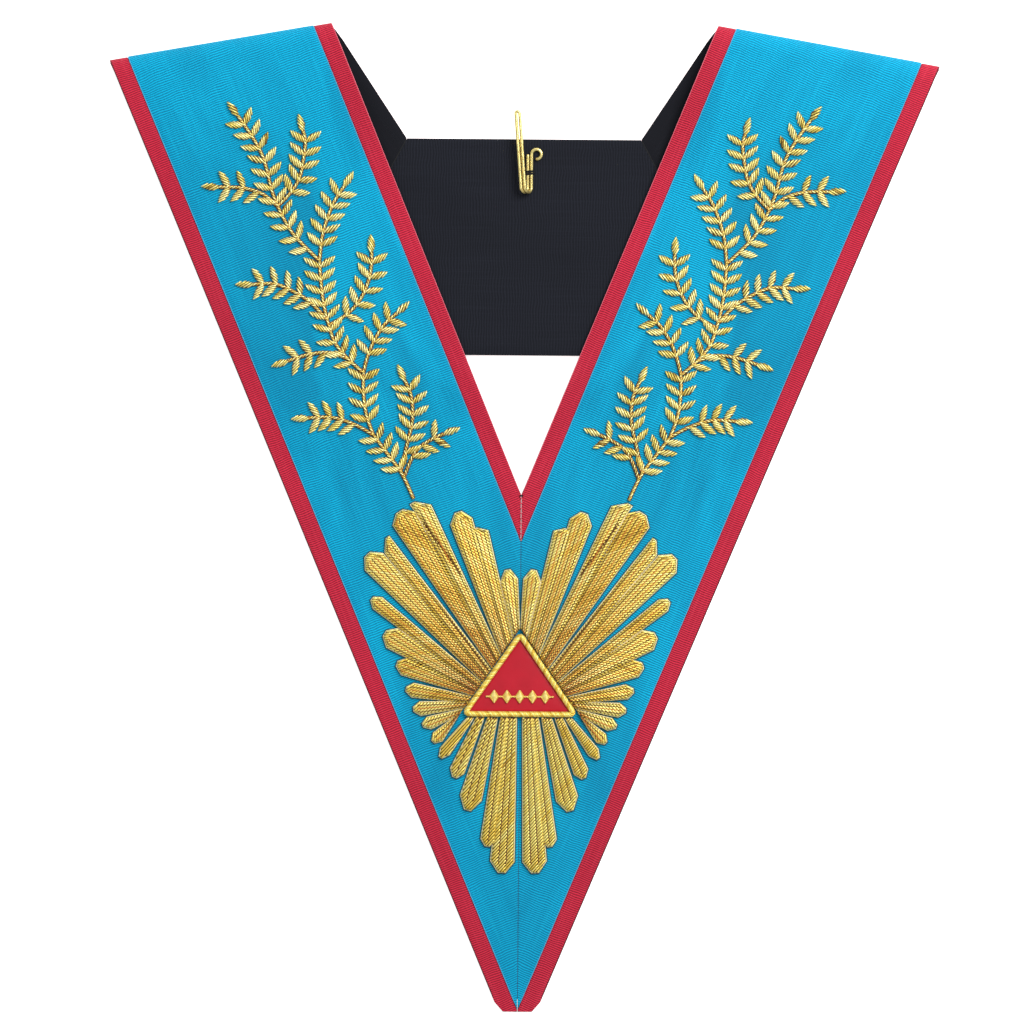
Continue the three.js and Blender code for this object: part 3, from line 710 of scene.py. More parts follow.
@dataclass(frozen=True)
class DrawnBrass:
    """Drawn brass wire, polished: clear reflections with faint draw lines along it."""

    name: str = "brass_drawn_wire"
    colour: int = 0xF0DE92
    tarnish: int = 0xB08A3C

    def material(self) -> bpy.types.Material:
        """Builds the finish from draw lines and spots of tarnish."""
        recipe = Recipe(self.name)
        lines = recipe.add("Mapping", Vector=recipe.add("UVMap", WEAVE), Scale=(0.4, 9.0, 1.0))
        draw = recipe.add("TexNoise", Vector=lines, Scale=1.0, Detail=2.0)
        spot = recipe.add("TexCoord", out=OBJECT_PLACE)
        age = recipe.add("TexNoise", Vector=spot, Scale=420.0, Detail=3.0)
        share = recipe.add("MapRange", Value=age, From_Min=0.5, From_Max=0.75, To_Max=0.6)
        colour = recipe.add("Mix", COLOURS, MIXED, in_0=share, in_6=linear(self.colour),
                            in_7=linear(self.tarnish))
        rough = recipe.add("MapRange", Value=draw, To_Min=0.18, To_Max=0.34)
        bump = recipe.add("Bump", Strength=0.2, Distance=0.05 * METRE, Height=draw)
        return recipe.finish(Base_Color=colour, Metallic=0.8, Roughness=rough, Normal=bump)


@dataclass(frozen=True)
class PaleBoard:
    """Matt white board that the collar lies on."""

    name: str = "board_matt_white"
    colour: int = 0xF7F7F6

    def material(self) -> bpy.types.Material:
        """Builds the finish with the board's faint paper tooth."""
        recipe = Recipe(self.name)
        spot = recipe.add("TexCoord", out=OBJECT_PLACE)
        tooth = recipe.add("TexNoise", Vector=spot, Scale=700.0, Detail=2.0)
        bump = recipe.add("Bump", Strength=0.05, Distance=0.1 * METRE, Height=tooth)
        # a little light of its own, as a board lit from below, takes the shadows off it
        return recipe.finish(Base_Color=linear(self.colour), Roughness=0.9, Normal=bump,
                             Emission_Color=linear(self.colour), Emission_Strength=0.8)


class Wardrobe:
    """Every finish of the collar, made once."""

    def __init__(self) -> None:
        """Makes the materials."""
        # rayon grosgrain: matt ribs; the real ones are 0.87 mm apart, which is under two pixels,
        # so they are drawn at 1.06 mm
        self.blue = RibbedRibbon("rayon_grosgrain_turquoise", 0x04C2F0, 0x005A80, 0x18CAF0,
                                 rib_pitch=1.06, rib_depth=0.22, roughness=0.7, sheen=0.0).material()
        # the same weave on the edging, with ribs 0.68 mm apart drawn at 1 mm so that they show
        self.red = RibbedRibbon("rayon_grosgrain_red", 0xEA304E, 0x5A0816, 0xEC4A62,
                                rib_pitch=1.0, rib_depth=0.2, roughness=0.64, moire=0.15).material()
        # cotton lining: dull and close, with ribs only on the yoke
        self.black = RibbedRibbon("cotton_lining_black", 0x20222B, 0x12141A, 0x272A34,
                                  rib_pitch=1.3, rib_depth=0.07, roughness=0.85, moire=0.2).material()
        self.plain_black = RibbedRibbon("cotton_lining_black_plain", 0x1A1B22, 0x0E0F14, 0x20222A,
                                        rib_pitch=0.6, rib_depth=0.03, roughness=0.85, moire=0.3).material()
        # the folded selvedge of the blue ribbon catches the light as a pale line, which its pale blue thread
        # paints as a highlight
        self.selvedge = SpunThread("rayon_selvedge_pale_blue", 0x66B2D8, 0x2F8FB8, 0.7).material()
        self.bullion = BullionWire("bullion_gilt_wire", 0xFFF69C, 0xF2D052, 0x864C0C).material()
        self.leaf = BullionWire("bullion_gilt_wire_bright", 0xFFF6AC, 0xE6CF60, 0x835C14, 0.45).material()
        self.outline = BullionWire("passing_gilt_thread_pale", 0xFFFAE0, 0xF6E6A8, 0xC9A04A,
                                   metallic=0.3, roughness=0.45).material()
        self.cord = BullionWire("twisted_gilt_cord", 0xFFF6A8, 0xEAC452, 0xB4701C,
                                metallic=0.5, roughness=0.4).material()
        self.couching = SpunThread("couching_thread_brown", 0x80521C, 0x44280C).material()
        # dark teal thread laid just outside each blade of the rays: painted shade on the blue beside the
        # raised padding
        self.border = SpunThread("ray_edge_painted_shade_teal", 0x1E6272, 0x12424E).material()
        self.seam = SpunThread("seam_thread_blue", 0x1C6E92, 0x0E5474).material()
        self.orange = SpunThread("couching_thread_orange", 0xD9842B, 0x9C4E14).material()
        # pink cotton thread for the notch stitches; on the inner turned borders its pale pink is painted
        # highlight
        self.pink = SpunThread("cotton_thread_pink", 0xE07080, 0xC04A5C).material()
        # the border that is turned to the lining lies in its own shade, which its dark maroon thread paints
        self.maroon = SpunThread("rayon_turned_border_maroon", 0x6A1222, 0x3E0A14, 0.9).material()
        self.black_thread = SpunThread("cotton_thread_black", 0x121317, 0x08090B, 0.9).material()
        # felt padding whose dark brown is painted shade in the gaps between the bullion strands
        self.felt = PaddingFeltPaintedShade().material()
        self.satin = SatinPatch().material()
        self.brass = DrawnBrass().material()

    def pad(self, node: str) -> None:
        """Gives a CAD node that shows between strands the finish of padding felt, whose dark colour is
        painted shade.
        """
        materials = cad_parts[node].data.materials
        materials.clear()
        materials.append(self.felt)


# Cloth


@dataclass(frozen=True)
class Plies:
    """How the plies lie on one another, and how far their borders stand apart."""

    face: ClothShell = ClothShell(0.0, 1.2, 0.3, 30)
    edging: ClothShell = ClothShell(0.3, 0.9, 0.4, 6)
    lining: ClothShell = ClothShell(1.5, 1.0, 0.3, 20)
    overlap: float = 0.12  # the blue face reaches a little over the edging's border
    cover: float = 0.04
    tuck: float = 0.7  # the edging stands back under the lining behind


PLIES = Plies()


@dataclass(frozen=True)
class Ply:
    """One ply of a leg, with its bounds on the front and on the back."""

    name: str
    front: Area
    back: Area
    shell: ClothShell
    slot: str


@dataclass(frozen=True)
class Row:
    """One row across the cloth of a leg."""

    s: float
    z: float
    normal: tuple[float, float]
    unrolled: float
    area: Area
    back: bool


def declare_sheet(piece: bpy.types.Object, width: float, length: float) -> None:
    """Works out the flat width and length of a piece of laid cloth from the area of its own outer side, but
    neither keeps nor returns them.

    An edging is ribbon folded double, so its cut is twice as wide as it lies.

    Args:
        piece: The cloth.
        width: Width of its cut, in millimetres.
        length: Length of its cut, in millimetres.
    """
    area = sum(face.area for face in piece.data.polygons) / 2
    width_m, length_m = max(width, 2 * CUT.edging_width) * METRE, length * METRE
    length_m = max(length_m, area / width_m)


@dataclass
class CollarLeg:
    """Cloth of one leg, from the point of the collar over the shoulder to the yoke's mitre."""

    side: Side
    wardrobe: Wardrobe
    roll_steps: int = 28
    row_pitch: float = 3.0
    end_room: float = 1.0  # no row closer than this to the end of the cloth
    width_row: float = 60.0  # the leg's width is taken this far from the fold
    turn_length: float = 20.0  # cloth in the roll
    border_pitch: float = 2.5

    def plies(self) -> list[Ply]:
        """The four plies of the leg."""
        inner, outer, back_in, back_out = CUT.front_inner, CUT.front_outer, CUT.back_inner, CUT.back_outer
        wide, tuck, cover = CUT.edging_width, PLIES.tuck, PLIES.cover
        face, point = wide + PLIES.overlap, (CUT.point_bevel, CUT.point_cut)
        return [
            Ply("face", Area((inner.shifted(face), CUT.seam), (outer.shifted(-face), CUT.point_cut)),
                Area((back_in.shifted(face), CUT.mitre_edge), (back_out.shifted(-face),)),
                PLIES.face, "blue_ribbon"),
            Ply("inner_edging", Area((inner, CUT.seam), (inner.shifted(wide),)),
                Area((back_in.shifted(tuck), CUT.mitre_edge), (back_in.shifted(wide),)),
                PLIES.edging, "red_edging"),
            Ply("outer_edging", Area((outer.shifted(-wide), CUT.seam), (outer, *point)),
                Area((back_out.shifted(-wide), CUT.mitre_edge), (back_out.shifted(-tuck),)),
                PLIES.edging, "red_edging"),
            Ply("lining", Area((inner.shifted(cover), CUT.seam), (outer.shifted(-cover), *point)),
                Area((back_in.shifted(cover), CUT.mitre_edge), (back_out.shifted(-cover),)),
                PLIES.lining, "black_lining"),
        ]

    def rows(self, ply: Ply) -> list[Row]:
        """Rows of a ply, from the mitre along the back, round the roll and down the front."""
        rise, reach = LIE.roll_height / 2, LIE.roll_reach
        behind = np.arange(reach + 2.0, ply.back.end() - self.end_room, 2 * self.row_pitch).tolist()
        found = [Row(s, 0.0, (0.0, -1.0), 0.0, ply.back, True)
                 for s in sorted({*ply.back.bends(reach), *behind}, reverse=True)]
        turns = np.linspace(-np.pi / 2, np.pi / 2, self.roll_steps + 1)[:-1]
        arc = np.hypot(reach * np.sin(turns), rise * np.cos(turns))
        left = np.cumsum(arc[::-1])[::-1] * (turns[1] - turns[0])
        for turn, run in zip(turns, left):
            normal = normed(np.array([-rise * math.cos(turn), reach * math.sin(turn)]))
            found.append(Row(reach * (1 - math.cos(turn)), rise * (1 + math.sin(turn)),
                             (float(normal[0]), float(normal[1])), reach - float(run),
                             ply.back if turn < 0 else ply.front, False))
        down = np.arange(reach, ply.front.end() - self.end_room, self.row_pitch).tolist()
        found += [Row(s, float(LIE.height(s)), (0.0, 1.0), s, ply.front, False)
                  for s in sorted({*ply.front.bends(reach), *down})]
        return found

    def build(self, ply: Ply) -> None:
        """Builds one ply, which stands for the leg's two nodes of that name, as cloth."""
        rows = self.rows(ply)
        across = left_of(CUT.back_down)
        rings, front, back = [], [], []
        for row in rows:
            low = row.area.low(row.s)
            section = ply.shell.ring(row.area.high(row.s) - low)
            t, depth = low + section[:, 0], ply.shell.depth + section[:, 1]
            out, up = row.normal
            plan = CUT.from_fold(0.0, t) + np.outer(row.s - out * depth, CUT.off_fold)
            rings.append(np.column_stack([mirrored(plan, self.side), row.z - up * depth]))
            spread = CUT.from_fold(row.unrolled, t)
            front.append(np.column_stack([spread @ CUT.leg_out, spread @ CUT.leg_up]))
            back.append(np.column_stack([plan @ across, plan @ CUT.back_down]))
        charts = [tuple((back if row.back else front)[i:i + 2]) for i, row in enumerate(rows[:-1])]
        finish = {"blue_ribbon": self.wardrobe.blue, "red_edging": self.wardrobe.red,
                  "black_lining": self.wardrobe.plain_black}[ply.slot]
        label = self.side.label
        draft = loft(rings, charts, turned=self.side is Side.LEFT)
        piece = draft.piece(f"{label}_{ply.name}_cloth", finish, ply.slot,
                            f"{label}_{ply.name}", f"{label}_nape_{ply.name}", weld=True)
        width = ply.front.high(self.width_row) - ply.front.low(self.width_row)
        declare_sheet(piece, width, rows[-1].s + rows[0].s + self.turn_length)

    def dress(self) -> None:
        """Builds the four plies and the selvedges and turned borders that lie on them."""
        for ply in self.plies():
            self.build(ply)
        self.selvedges()

    def border(self, draft: MeshDraft, thread: Thread, bound: Line, limit: float, sink: float) -> None:
        """Lays a thread along one border of the front.

        Args:
            draft: Mesh that the thread joins.
            thread: The thread.
            bound: Edge that it follows.
            limit: Distance from the fold where it ends.
            sink: Depth of its centre under the blue face's outer side.
        """
        crown = np.linspace(0.22, np.pi / 2, 7)[:-1]
        over = LIE.roll_reach * (1 - np.cos(crown)) + sink * np.cos(crown)
        flat = np.arange(LIE.roll_reach, limit - 0.2, self.border_pitch)
        plan = np.concatenate([CUT.from_fold(s, np.array([bound.t(s)])) for s in (*over, *flat)])
        rise = LIE.roll_height / 2
        height = np.concatenate([rise + (rise - sink) * np.sin(crown), LIE.height(flat) - sink])
        thread.lay(draft, np.column_stack([mirrored(plan, self.side), height]))

    def selvedges(self) -> None:
        """Lays the selvedges of the blue face, whose pale thread is painted highlight, and the turned borders
        of both edgings: pale pink thread on the inner ones as painted highlight, maroon thread on the outer
        ones as painted shade.
        """
        face, inner, outer, _ = self.plies()
        blue = (face.front.lows[0].shifted(0.1), face.front.highs[0].shifted(-0.1))
        light_edge, hem = inner.front.lows[0], outer.front.highs[0]
        fine, turned = Thread(0.2, flatness=0.7, taper=0.6), Thread(0.3, flatness=0.8, taper=0.6)
        selvedge, light, dark = MeshDraft(), MeshDraft(), MeshDraft()
        # pale blue selvedge threads along the blue face's borders: painted highlight on its folded edges
        self.border(selvedge, fine, blue[0], blue[0].crossing(CUT.seam), 0.02)
        self.border(selvedge, fine, blue[1], face.front.end(), 0.02)
        # pale pink thread along the inner edging's turned border: painted highlight where the fold catches
        # the light
        self.border(light, fine, light_edge.shifted(0.24), light_edge.crossing(CUT.seam), 0.42)
        # dark maroon thread along the outer edging's turned border: painted shade of the fold
        self.border(dark, turned, hem.shifted(-0.3), hem.crossing(CUT.point_bevel), 0.42)
        label, kit = self.side.label, self.wardrobe
        selvedge.piece(f"{label}_face_selvedges", kit.selvedge, "blue_ribbon")
        light.piece(f"{label}_inner_turned_border", kit.pink, "red_edging")
        dark.piece(f"{label}_outer_turned_border", kit.maroon, "red_edging")


@dataclass
class BackYoke:
    """Straight back of the collar between the two mitres, lying face down."""

    wardrobe: Wardrobe
    row_pitch: float = 4.0
    rim: float = 0.3
    edge_radius: float = 0.35
    columns: int = 40

    def reach(self, y: float) -> float:
        """Half the yoke's length at a height in plan."""
        down = (CUT.yoke_top[1] - y) / -CUT.mitre[1]
        return float(CUT.yoke_top[0] + down * CUT.mitre[0] - CUT.seam_half * 1.2)

    def ply(self, name: str, top: float, foot: float, lie: ClothShell, finish: bpy.types.Material,
            slot: str) -> None:
        """Builds one ply as cloth.

        Args:
            name: Its CAD node.
            top: Distance of its upper edge below the yoke's top edge.
            foot: Distance of its lower edge below the yoke's top edge.
            lie: The leg's ply of the same kind, whose depth is this one's height over the floor.
            finish: Its finish.
            slot: Name of a material slot, passed on to the piece.
        """
        thick, rim = lie.thickness, self.rim
        shell = ClothShell(lie.depth, thick, self.edge_radius, self.columns)
        ends = np.array([0.0, 0.3 * rim, rim])
        marks = np.concatenate([top + ends, np.arange(top + self.row_pitch, foot - 2.0, self.row_pitch),
                                foot - ends[::-1]])
        pinch = np.zeros(len(marks))
        pinch[[0, -1]], pinch[[1, -2]] = rim, 0.35 * rim
        rings, weave = [], []
        for y, inset in zip(CUT.yoke_top[1] - marks, pinch):
            half = self.reach(y)
            section = shell.ring(2 * half)
            x, level = section[:, 0] - half, np.full(len(section), y)
            height = lie.depth + thick - np.clip(section[:, 1], inset, thick - inset)
            rings.append(np.column_stack([x, level, height]))
            weave.append(np.column_stack([level, x]))
        piece = loft(rings, list(zip(weave, weave[1:]))).piece(f"{name}_cloth", finish, slot, name, weld=True)
        declare_sheet(piece, foot - top, 2 * self.reach(CUT.yoke_top[1] - foot))

    def dress(self) -> None:
        """Builds the face, both edgings and the ribbed black lining."""
        wide, edging, kit = CUT.ribbon_width, CUT.edging_width, self.wardrobe
        face, cover = edging + PLIES.overlap, PLIES.cover
        self.ply("back_face", face, wide - face, PLIES.face, kit.blue, "blue_ribbon")
        self.ply("back_top_edging", PLIES.tuck, edging, PLIES.edging, kit.red, "red_edging")
        self.ply("back_bottom_edging", wide - edging, wide - PLIES.tuck, PLIES.edging, kit.red, "red_edging")
        self.ply("back_lining", cover, wide - cover, PLIES.lining, kit.black, "black_lining")


# Embroidery


def hatch(outline: np.ndarray, angle: float, pitch: float) -> list[tuple[np.ndarray, np.ndarray]]:
    """Parallel chords across a convex outline.

    Args:
        outline: Its corners in plan.
        angle: Direction of the chords, in degrees from +X.
        pitch: Distance between chords.

    Returns:
        The two ends of each chord.
    """
    way = unit(angle)
    offsets = outline @ left_of(way)
    span = offsets.max() - offsets.min()
    count = max(1, int(round(span / pitch)))
    chords = []
    for k in range(count):
        level = offsets.min() + span / count * (k + 0.5)
        hits = []
        for i, here in enumerate(outline):
            j = (i + 1) % len(outline)
            a, b = offsets[i] - level, offsets[j] - level
            if (a >= 0) != (b >= 0):
                hits.append(here + (outline[j] - here) * (a / (a - b)))
        if len(hits) > 1:
            hits.sort(key=lambda point: float(point @ way))
            chords.append((hits[0], hits[-1]))
    return chords


def inside_depth(outline: np.ndarray, points: np.ndarray) -> np.ndarray:
    """Distance of points from the nearest edge of a convex outline."""
    depth = np.full(len(points), math.inf)
    for a, b in zip(outline, np.roll(outline, -1, axis=0)):
        run = b - a
        length = float(np.linalg.norm(run))
        if length > TINY:
            cross = run[0] * (points[:, 1] - a[1]) - run[1] * (points[:, 0] - a[0])
            depth = np.minimum(depth, np.abs(cross) / length)
    return depth


@dataclass(frozen=True)
class Stem:
    """One stem of a sprig. along and across are shares of the leg's inner edge and width."""

    name: str
    bare: float
    tip: bool
    along: tuple[float, ...]
    across: tuple[float, ...]


STEMS = (
    Stem("foot", 2.3, False, (0.072, 0.126, 0.172, 0.217), (0.468, 0.475, 0.502, 0.53)),
    Stem("trunk", 1.1, False, (0.217, 0.259, 0.302, 0.338), (0.53, 0.526, 0.5, 0.466)),
    Stem("middle", 1.1, False, (0.338, 0.375, 0.412, 0.444, 0.489, 0.532, 0.574),
         (0.466, 0.509, 0.536, 0.534, 0.52, 0.494, 0.462)),
    Stem("top_inner", 1.1, True, (0.574, 0.614, 0.645, 0.672, 0.692),
         (0.462, 0.412, 0.357, 0.295, 0.228)),
    Stem("top_outer", 1.2, True, (0.574, 0.631, 0.664, 0.704, 0.739, 0.781, 0.812, 0.849, 0.897),
         (0.462, 0.52, 0.539, 0.547, 0.545, 0.53, 0.526, 0.537, 0.562)),
    Stem("twig_a", 1.4, True, (0.704, 0.718, 0.739, 0.77, 0.801, 0.822),
         (0.547, 0.474, 0.406, 0.357, 0.317, 0.309)),
    Stem("twig_b", 1.7, True, (0.704, 0.738, 0.763, 0.782), (0.547, 0.592, 0.667, 0.768)),
    Stem("twig_c", 1.7, True, (0.46, 0.503, 0.535, 0.565, 0.58), (0.53, 0.57, 0.622, 0.695, 0.79)),
    Stem("twig_d", 1.4, True, (0.45, 0.457, 0.477, 0.507, 0.535, 0.552),
         (0.53, 0.432, 0.344, 0.277, 0.24, 0.224)),
    Stem("twig_e", 1.7, True, (0.375, 0.399, 0.411, 0.415), (0.509, 0.575, 0.664, 0.77)),
    Stem("twig_f", 1.4, True, (0.338, 0.361, 0.387, 0.411, 0.422),
         (0.466, 0.427, 0.37, 0.292, 0.22)),
    Stem("twig_g", 1.6, True, (0.217, 0.247, 0.279, 0.296), (0.53, 0.586, 0.675, 0.78)),
    Stem("twig_h", 1.4, True, (0.13, 0.178, 0.215, 0.259, 0.294), (0.477, 0.399, 0.339, 0.302, 0.302)),
    Stem("twig_i", 1.6, True, (0.118, 0.157, 0.167, 0.168), (0.473, 0.377, 0.287, 0.226)),
)


def smooth_curve(knots: np.ndarray, steps: int = 400) -> np.ndarray:
    """Catmull-Rom curve through knots, sampled at even lengths."""
    padded = np.vstack([knots[:1], knots, knots[-1:]])
    found = []
    for i in range(len(knots) - 1):
        p0, p1, p2, p3 = padded[i:i + 4]
        u = np.linspace(0, 1, steps // (len(knots) - 1), endpoint=False)[:, None]
        found.append(0.5 * (2 * p1 + (p2 - p0) * u + (2 * p0 - 5 * p1 + 4 * p2 - p3) * u ** 2
                            + (3 * p1 - p0 - 3 * p2 + p3) * u ** 3))
    return evened(np.vstack([*found, knots[-1:]]), steps)


def place_on(curve: np.ndarray, share: float) -> tuple[np.ndarray, np.ndarray]:
    """Point and direction at a share of the length of a curve in even steps."""
    i = int(np.clip(share * (len(curve) - 1), 1, len(curve) - 2))
    return curve[i], curve[i + 1] - curve[i - 1]


@dataclass
class AcaciaSprig:
    """Branch of acacia in bullion: leaves in pairs on stems of twisted cord."""

    side: Side
    wardrobe: Wardrobe
    leaf_length: float = 9.3
    cad_leaf: float = 9.2
    leaf_width: float = 3.15
    leaf_height: float = 1.25
    leaf_pitch: float = 6.4
    tip_bare: float = 0.85
    joint_bare: float = 0.5
    leaf_splay: float = 54.0
    leaf_room: float = 3.6  # least distance between the middles of two leaves
    leaf_belly: float = 0.45
    tip_seat: float = 0.9  # a tip's leaf starts this far before the end of its stem
    strand_slant: float = 28.0
    strand_pitch: float = 0.96
    strand_over: float = 0.18  # the strands reach a little past the outline
    strand_rise: float = 0.12
    least_strand: float = 0.6
    cord_radius: float = 0.34
    cord_pitch: float = 3.4
    cord_step: float = 0.55
    cord_rise: float = 0.75
    cord_offset: tuple[float, float] = (0.36, 0.4)
    tie_radius: float = 0.16
    tie_first: float = 1.6

    def curve(self, stem: Stem) -> np.ndarray:
        """Centre line of a stem in plan, right half."""
        height = float(np.linalg.norm(CUT.fold_inner))
        return smooth_curve(np.outer(np.array(stem.along) * height, CUT.leg_up)
                            + np.outer(np.array(stem.across) * CUT.ribbon_width, CUT.leg_out))

    def leaf_outline(self, root: np.ndarray, angle: float, width: float) -> np.ndarray:
        """Lens-shaped outline of a leaf."""
        share = np.linspace(0, 1, 11)
        swell = np.where(share < self.leaf_belly, share / self.leaf_belly,
                         (1 - share) / (1 - self.leaf_belly))
        half = np.outer(width / 2 * np.sin(np.pi / 2 * swell) ** 0.8, left_of(unit(angle)))
        spine = root + np.outer(share * self.leaf_length, unit(angle))
        return np.vstack([spine - half, (spine + half)[-2:0:-1]])

    def leaf(self, draft: MeshDraft, root: np.ndarray, angle: float, turn: float, rng: random.Random) -> None:
        """Fills one leaf with slanted bullion strands over its padding.

        Args:
            draft: Mesh that the strands join.
            root: Foot of the leaf in plan, right half.
            angle: Direction of the leaf, in degrees from +X.
            turn: Side of the stem that it is on: 1, -1, or 0 for a leaf at a tip.
            rng: Source of small irregularities.
        """
        width = self.leaf_width * rng.uniform(0.9, 1.08)
        outline = self.leaf_outline(root, angle + rng.uniform(-3, 3), width)
        thread = Thread(self.strand_pitch * 0.43, taper=0.4)
        tone = 0.68 + rng.uniform(-0.12, 0.12)
        for a, b in hatch(outline, angle - self.strand_slant * (turn or 1.0), self.strand_pitch):
            length = float(np.linalg.norm(b - a))
            if length < self.least_strand:
                continue
            over = self.strand_over * (b - a) / length
            plan = a - over + np.outer(np.linspace(0, 1, 7), b - a + 2 * over)
            swell = np.sqrt(np.clip(inside_depth(outline, plan) / (width / 2), 0, 1))
            shade = float(np.clip(rng.gauss(tone, 0.17), 0, 1))
            thread.rest(draft, plan, self.leaf_height * swell + self.strand_rise, shade, self.side)

    def stem(self, draft: MeshDraft, curve: np.ndarray, rng: random.Random) -> None:
        """Lays a two-ply twisted cord along a stem."""
        length = float(runs(curve)[-1])
        count = max(8, int(length / self.cord_step))
        pick = np.linspace(0, len(curve) - 1, count)
        plan = np.column_stack([np.interp(pick, np.arange(len(curve)), column) for column in curve.T])
        phase = np.linspace(0, length, count) * 2 * np.pi / self.cord_pitch
        tones = (MIDDLE_TONE + rng.uniform(-0.05, 0.05), 0.95)
        Thread(self.cord_radius, taper=0.7).twist(draft, plan, phase, self.cord_offset, self.cord_rise,
                                                  tones, self.side)

    def couching(self, draft: MeshDraft, curve: np.ndarray) -> None:
        """Ties each cord down with short slanted stitches of orange thread."""
        length = float(runs(curve)[-1])
        thread = Thread(self.tie_radius, sides=5, taper=0.6)
        for mark in np.arange(self.tie_first, length, self.cord_pitch):
            middle, way = place_on(curve, mark / length)
            half = 0.95 * left_of(normed(way)) + 0.5 * normed(way)
            thread.stitch(draft, middle, half, 0.15, 1.15, self.side, steps=5)

    def places(self, stem: Stem, curve: np.ndarray) -> list[tuple[np.ndarray, float, float]]:
        """Foot, direction and side of each leaf along a stem, and of the one at its tip."""
        length = float(runs(curve)[-1])
        first = stem.bare * self.leaf_pitch
        last = length - (self.tip_bare if stem.tip else self.joint_bare) * self.leaf_pitch
        gaps = int(math.floor((last - first) / self.leaf_pitch + 0.5))
        found = []
        for mark in np.linspace(first, last, gaps + 1):
            root, way = place_on(curve, mark / length)
            found += [(root, heading(way) + turn * self.leaf_splay, turn) for turn in (1.0, -1.0)]
        if stem.tip:
            angle = heading(curve[-1] - curve[-3])
            found.append((curve[-1] - self.tip_seat * unit(angle), angle, 0.0))
        return found

    def dress(self) -> None:
        """Builds the leaves, cords and couching of the sprig, over the padding in its CAD node."""
        rng = random.Random(41)
        leaves, cords, ties = MeshDraft(), MeshDraft(), MeshDraft()
        worked: list[np.ndarray] = []
        for stem in STEMS:
            curve = self.curve(stem)
            for root, angle, turn in self.places(stem, curve):
                middle = root + 0.5 * self.cad_leaf * unit(angle)
                if all(np.linalg.norm(middle - other) >= self.leaf_room for other in worked):
                    worked.append(middle)
                    self.leaf(leaves, root, angle, turn, rng)
            self.stem(cords, curve, rng)
            self.couching(ties, curve)
        for suffix, draft, finish in (("leaves", leaves, self.wardrobe.leaf),
                                      ("stems", cords, self.wardrobe.cord),
                                      ("ties", ties, self.wardrobe.orange)):
            draft.piece(f"{self.side.label}_acacia_{suffix}", finish, "gold_bullion")
        self.wardrobe.pad(f"{self.side.label}_acacia")
        log.info("%s acacia: %d leaves", self.side.label, len(worked))


class Base(Enum):
    """Which edge of the triangle a ray springs from."""

    SLOPE = "slope"
    FOOT = "foot"


@dataclass(frozen=True)
class Blade:
    """One blade of a ray, with its end in shares of the ribbon's width."""

    start: float
    stop: float
    end: tuple[float, float]
    width: float
    point: float
    skew: float = 0.0


@dataclass(frozen=True)
class Ray:
    """Blades that spring together from one edge of the triangle."""

    name: str
    base: Base
    blades: tuple[Blade, ...]


RAYS = (
    Ray("ray_01", Base.SLOPE, (Blade(0.012, 0.1, (0.053, -0.394), 0.077, 0.047),)),
    Ray("ray_02", Base.SLOPE, (Blade(0.2, 0.298, (0.276, -0.125), 0.101, 0.044),
                               Blade(0.118, 0.22, (0.189, -0.176), 0.075, 0.024, 0.5))),
    Ray("ray_03", Base.SLOPE, (Blade(0.37, 0.448, (0.541, -0.114), 0.117, 0.037),
                               Blade(0.312, 0.385, (0.452, -0.067), 0.075, 0.044, 0.9))),
    Ray("ray_04", Base.SLOPE, (Blade(0.53, 0.598, (0.677, -0.314), 0.111, 0.044),
                               Blade(0.465, 0.545, (0.603, -0.254), 0.061, 0.049, -0.75))),
    Ray("ray_05", Base.SLOPE, (Blade(0.612, 0.665, (0.66, -0.504), 0.063, 0.031),
                               Blade(0.655, 0.715, (0.591, -0.665), 0.1, 0.039),
                               Blade(0.705, 0.752, (0.533, -0.796), 0.08, 0.036))),
    Ray("ray_06", Base.SLOPE, (Blade(0.768, 0.835, (0.494, -0.905), 0.063, 0.03),
                               Blade(0.822, 0.888, (0.459, -0.99), 0.062, 0.03))),
    Ray("ray_07", Base.SLOPE, (Blade(0.905, 0.96, (0.417, -1.056), 0.057, 0.03),
                               Blade(0.945, 0.998, (0.377, -1.12), 0.054, 0.03))),
    Ray("ray_08", Base.FOOT, (Blade(0.17, 0.27, (0.343, -1.186), 0.05, 0.034),)),
    Ray("ray_09", Base.FOOT, (Blade(0.31, 0.43, (0.286, -1.276), 0.065, 0.031),)),
    Ray("ray_10", Base.FOOT, (Blade(0.49, 0.645, (0.222, -1.4), 0.098, 0.057),)),
    Ray("ray_11", Base.FOOT, (Blade(0.7, 0.82, (0.141, -1.592), 0.065, 0.03),
                              Blade(0.78, 0.95, (0.0745, -1.692), 0.107, 0.051))),
)


@dataclass(frozen=True)
class Triangle:
    """Plan of the rope triangle, in millimetres from the notch."""

    half: float = 26.0
    height: float = 37.3
    drop: float = 65.5
    rope: float = 2.8
    gap: float = 0.3

    def corners(self, outset: float) -> np.ndarray:
        """Apex and foot corners, moved out from the rope's centre line."""
        slope = math.atan(self.half / self.height)
        top = -self.drop + outset / math.sin(slope)
        foot = -self.drop - self.height - outset
        half = (top - foot) * math.tan(slope)
        return np.array([[0.0, top], [half, foot], [-half, foot]])

    def base_point(self, base: Base, share: float) -> np.ndarray:
        """Point on the line that the rays spring from."""
        apex, corner, _ = self.corners(self.rope / 2 + self.gap)
        middle = np.array([0.0, corner[1]])
        return apex + share * (corner - apex) if base is Base.SLOPE else corner + share * (middle - corner)


TRIANGLE = Triangle()


@dataclass(frozen=True)
class RayWork:
    """How the blades above the triangle's foot, or below it, are worked."""

    strand_share: float  # of the strands' pitch that is their radius
    band_width: float
    ridge: float
    step: float
    line_rise: float
    line_radius: float


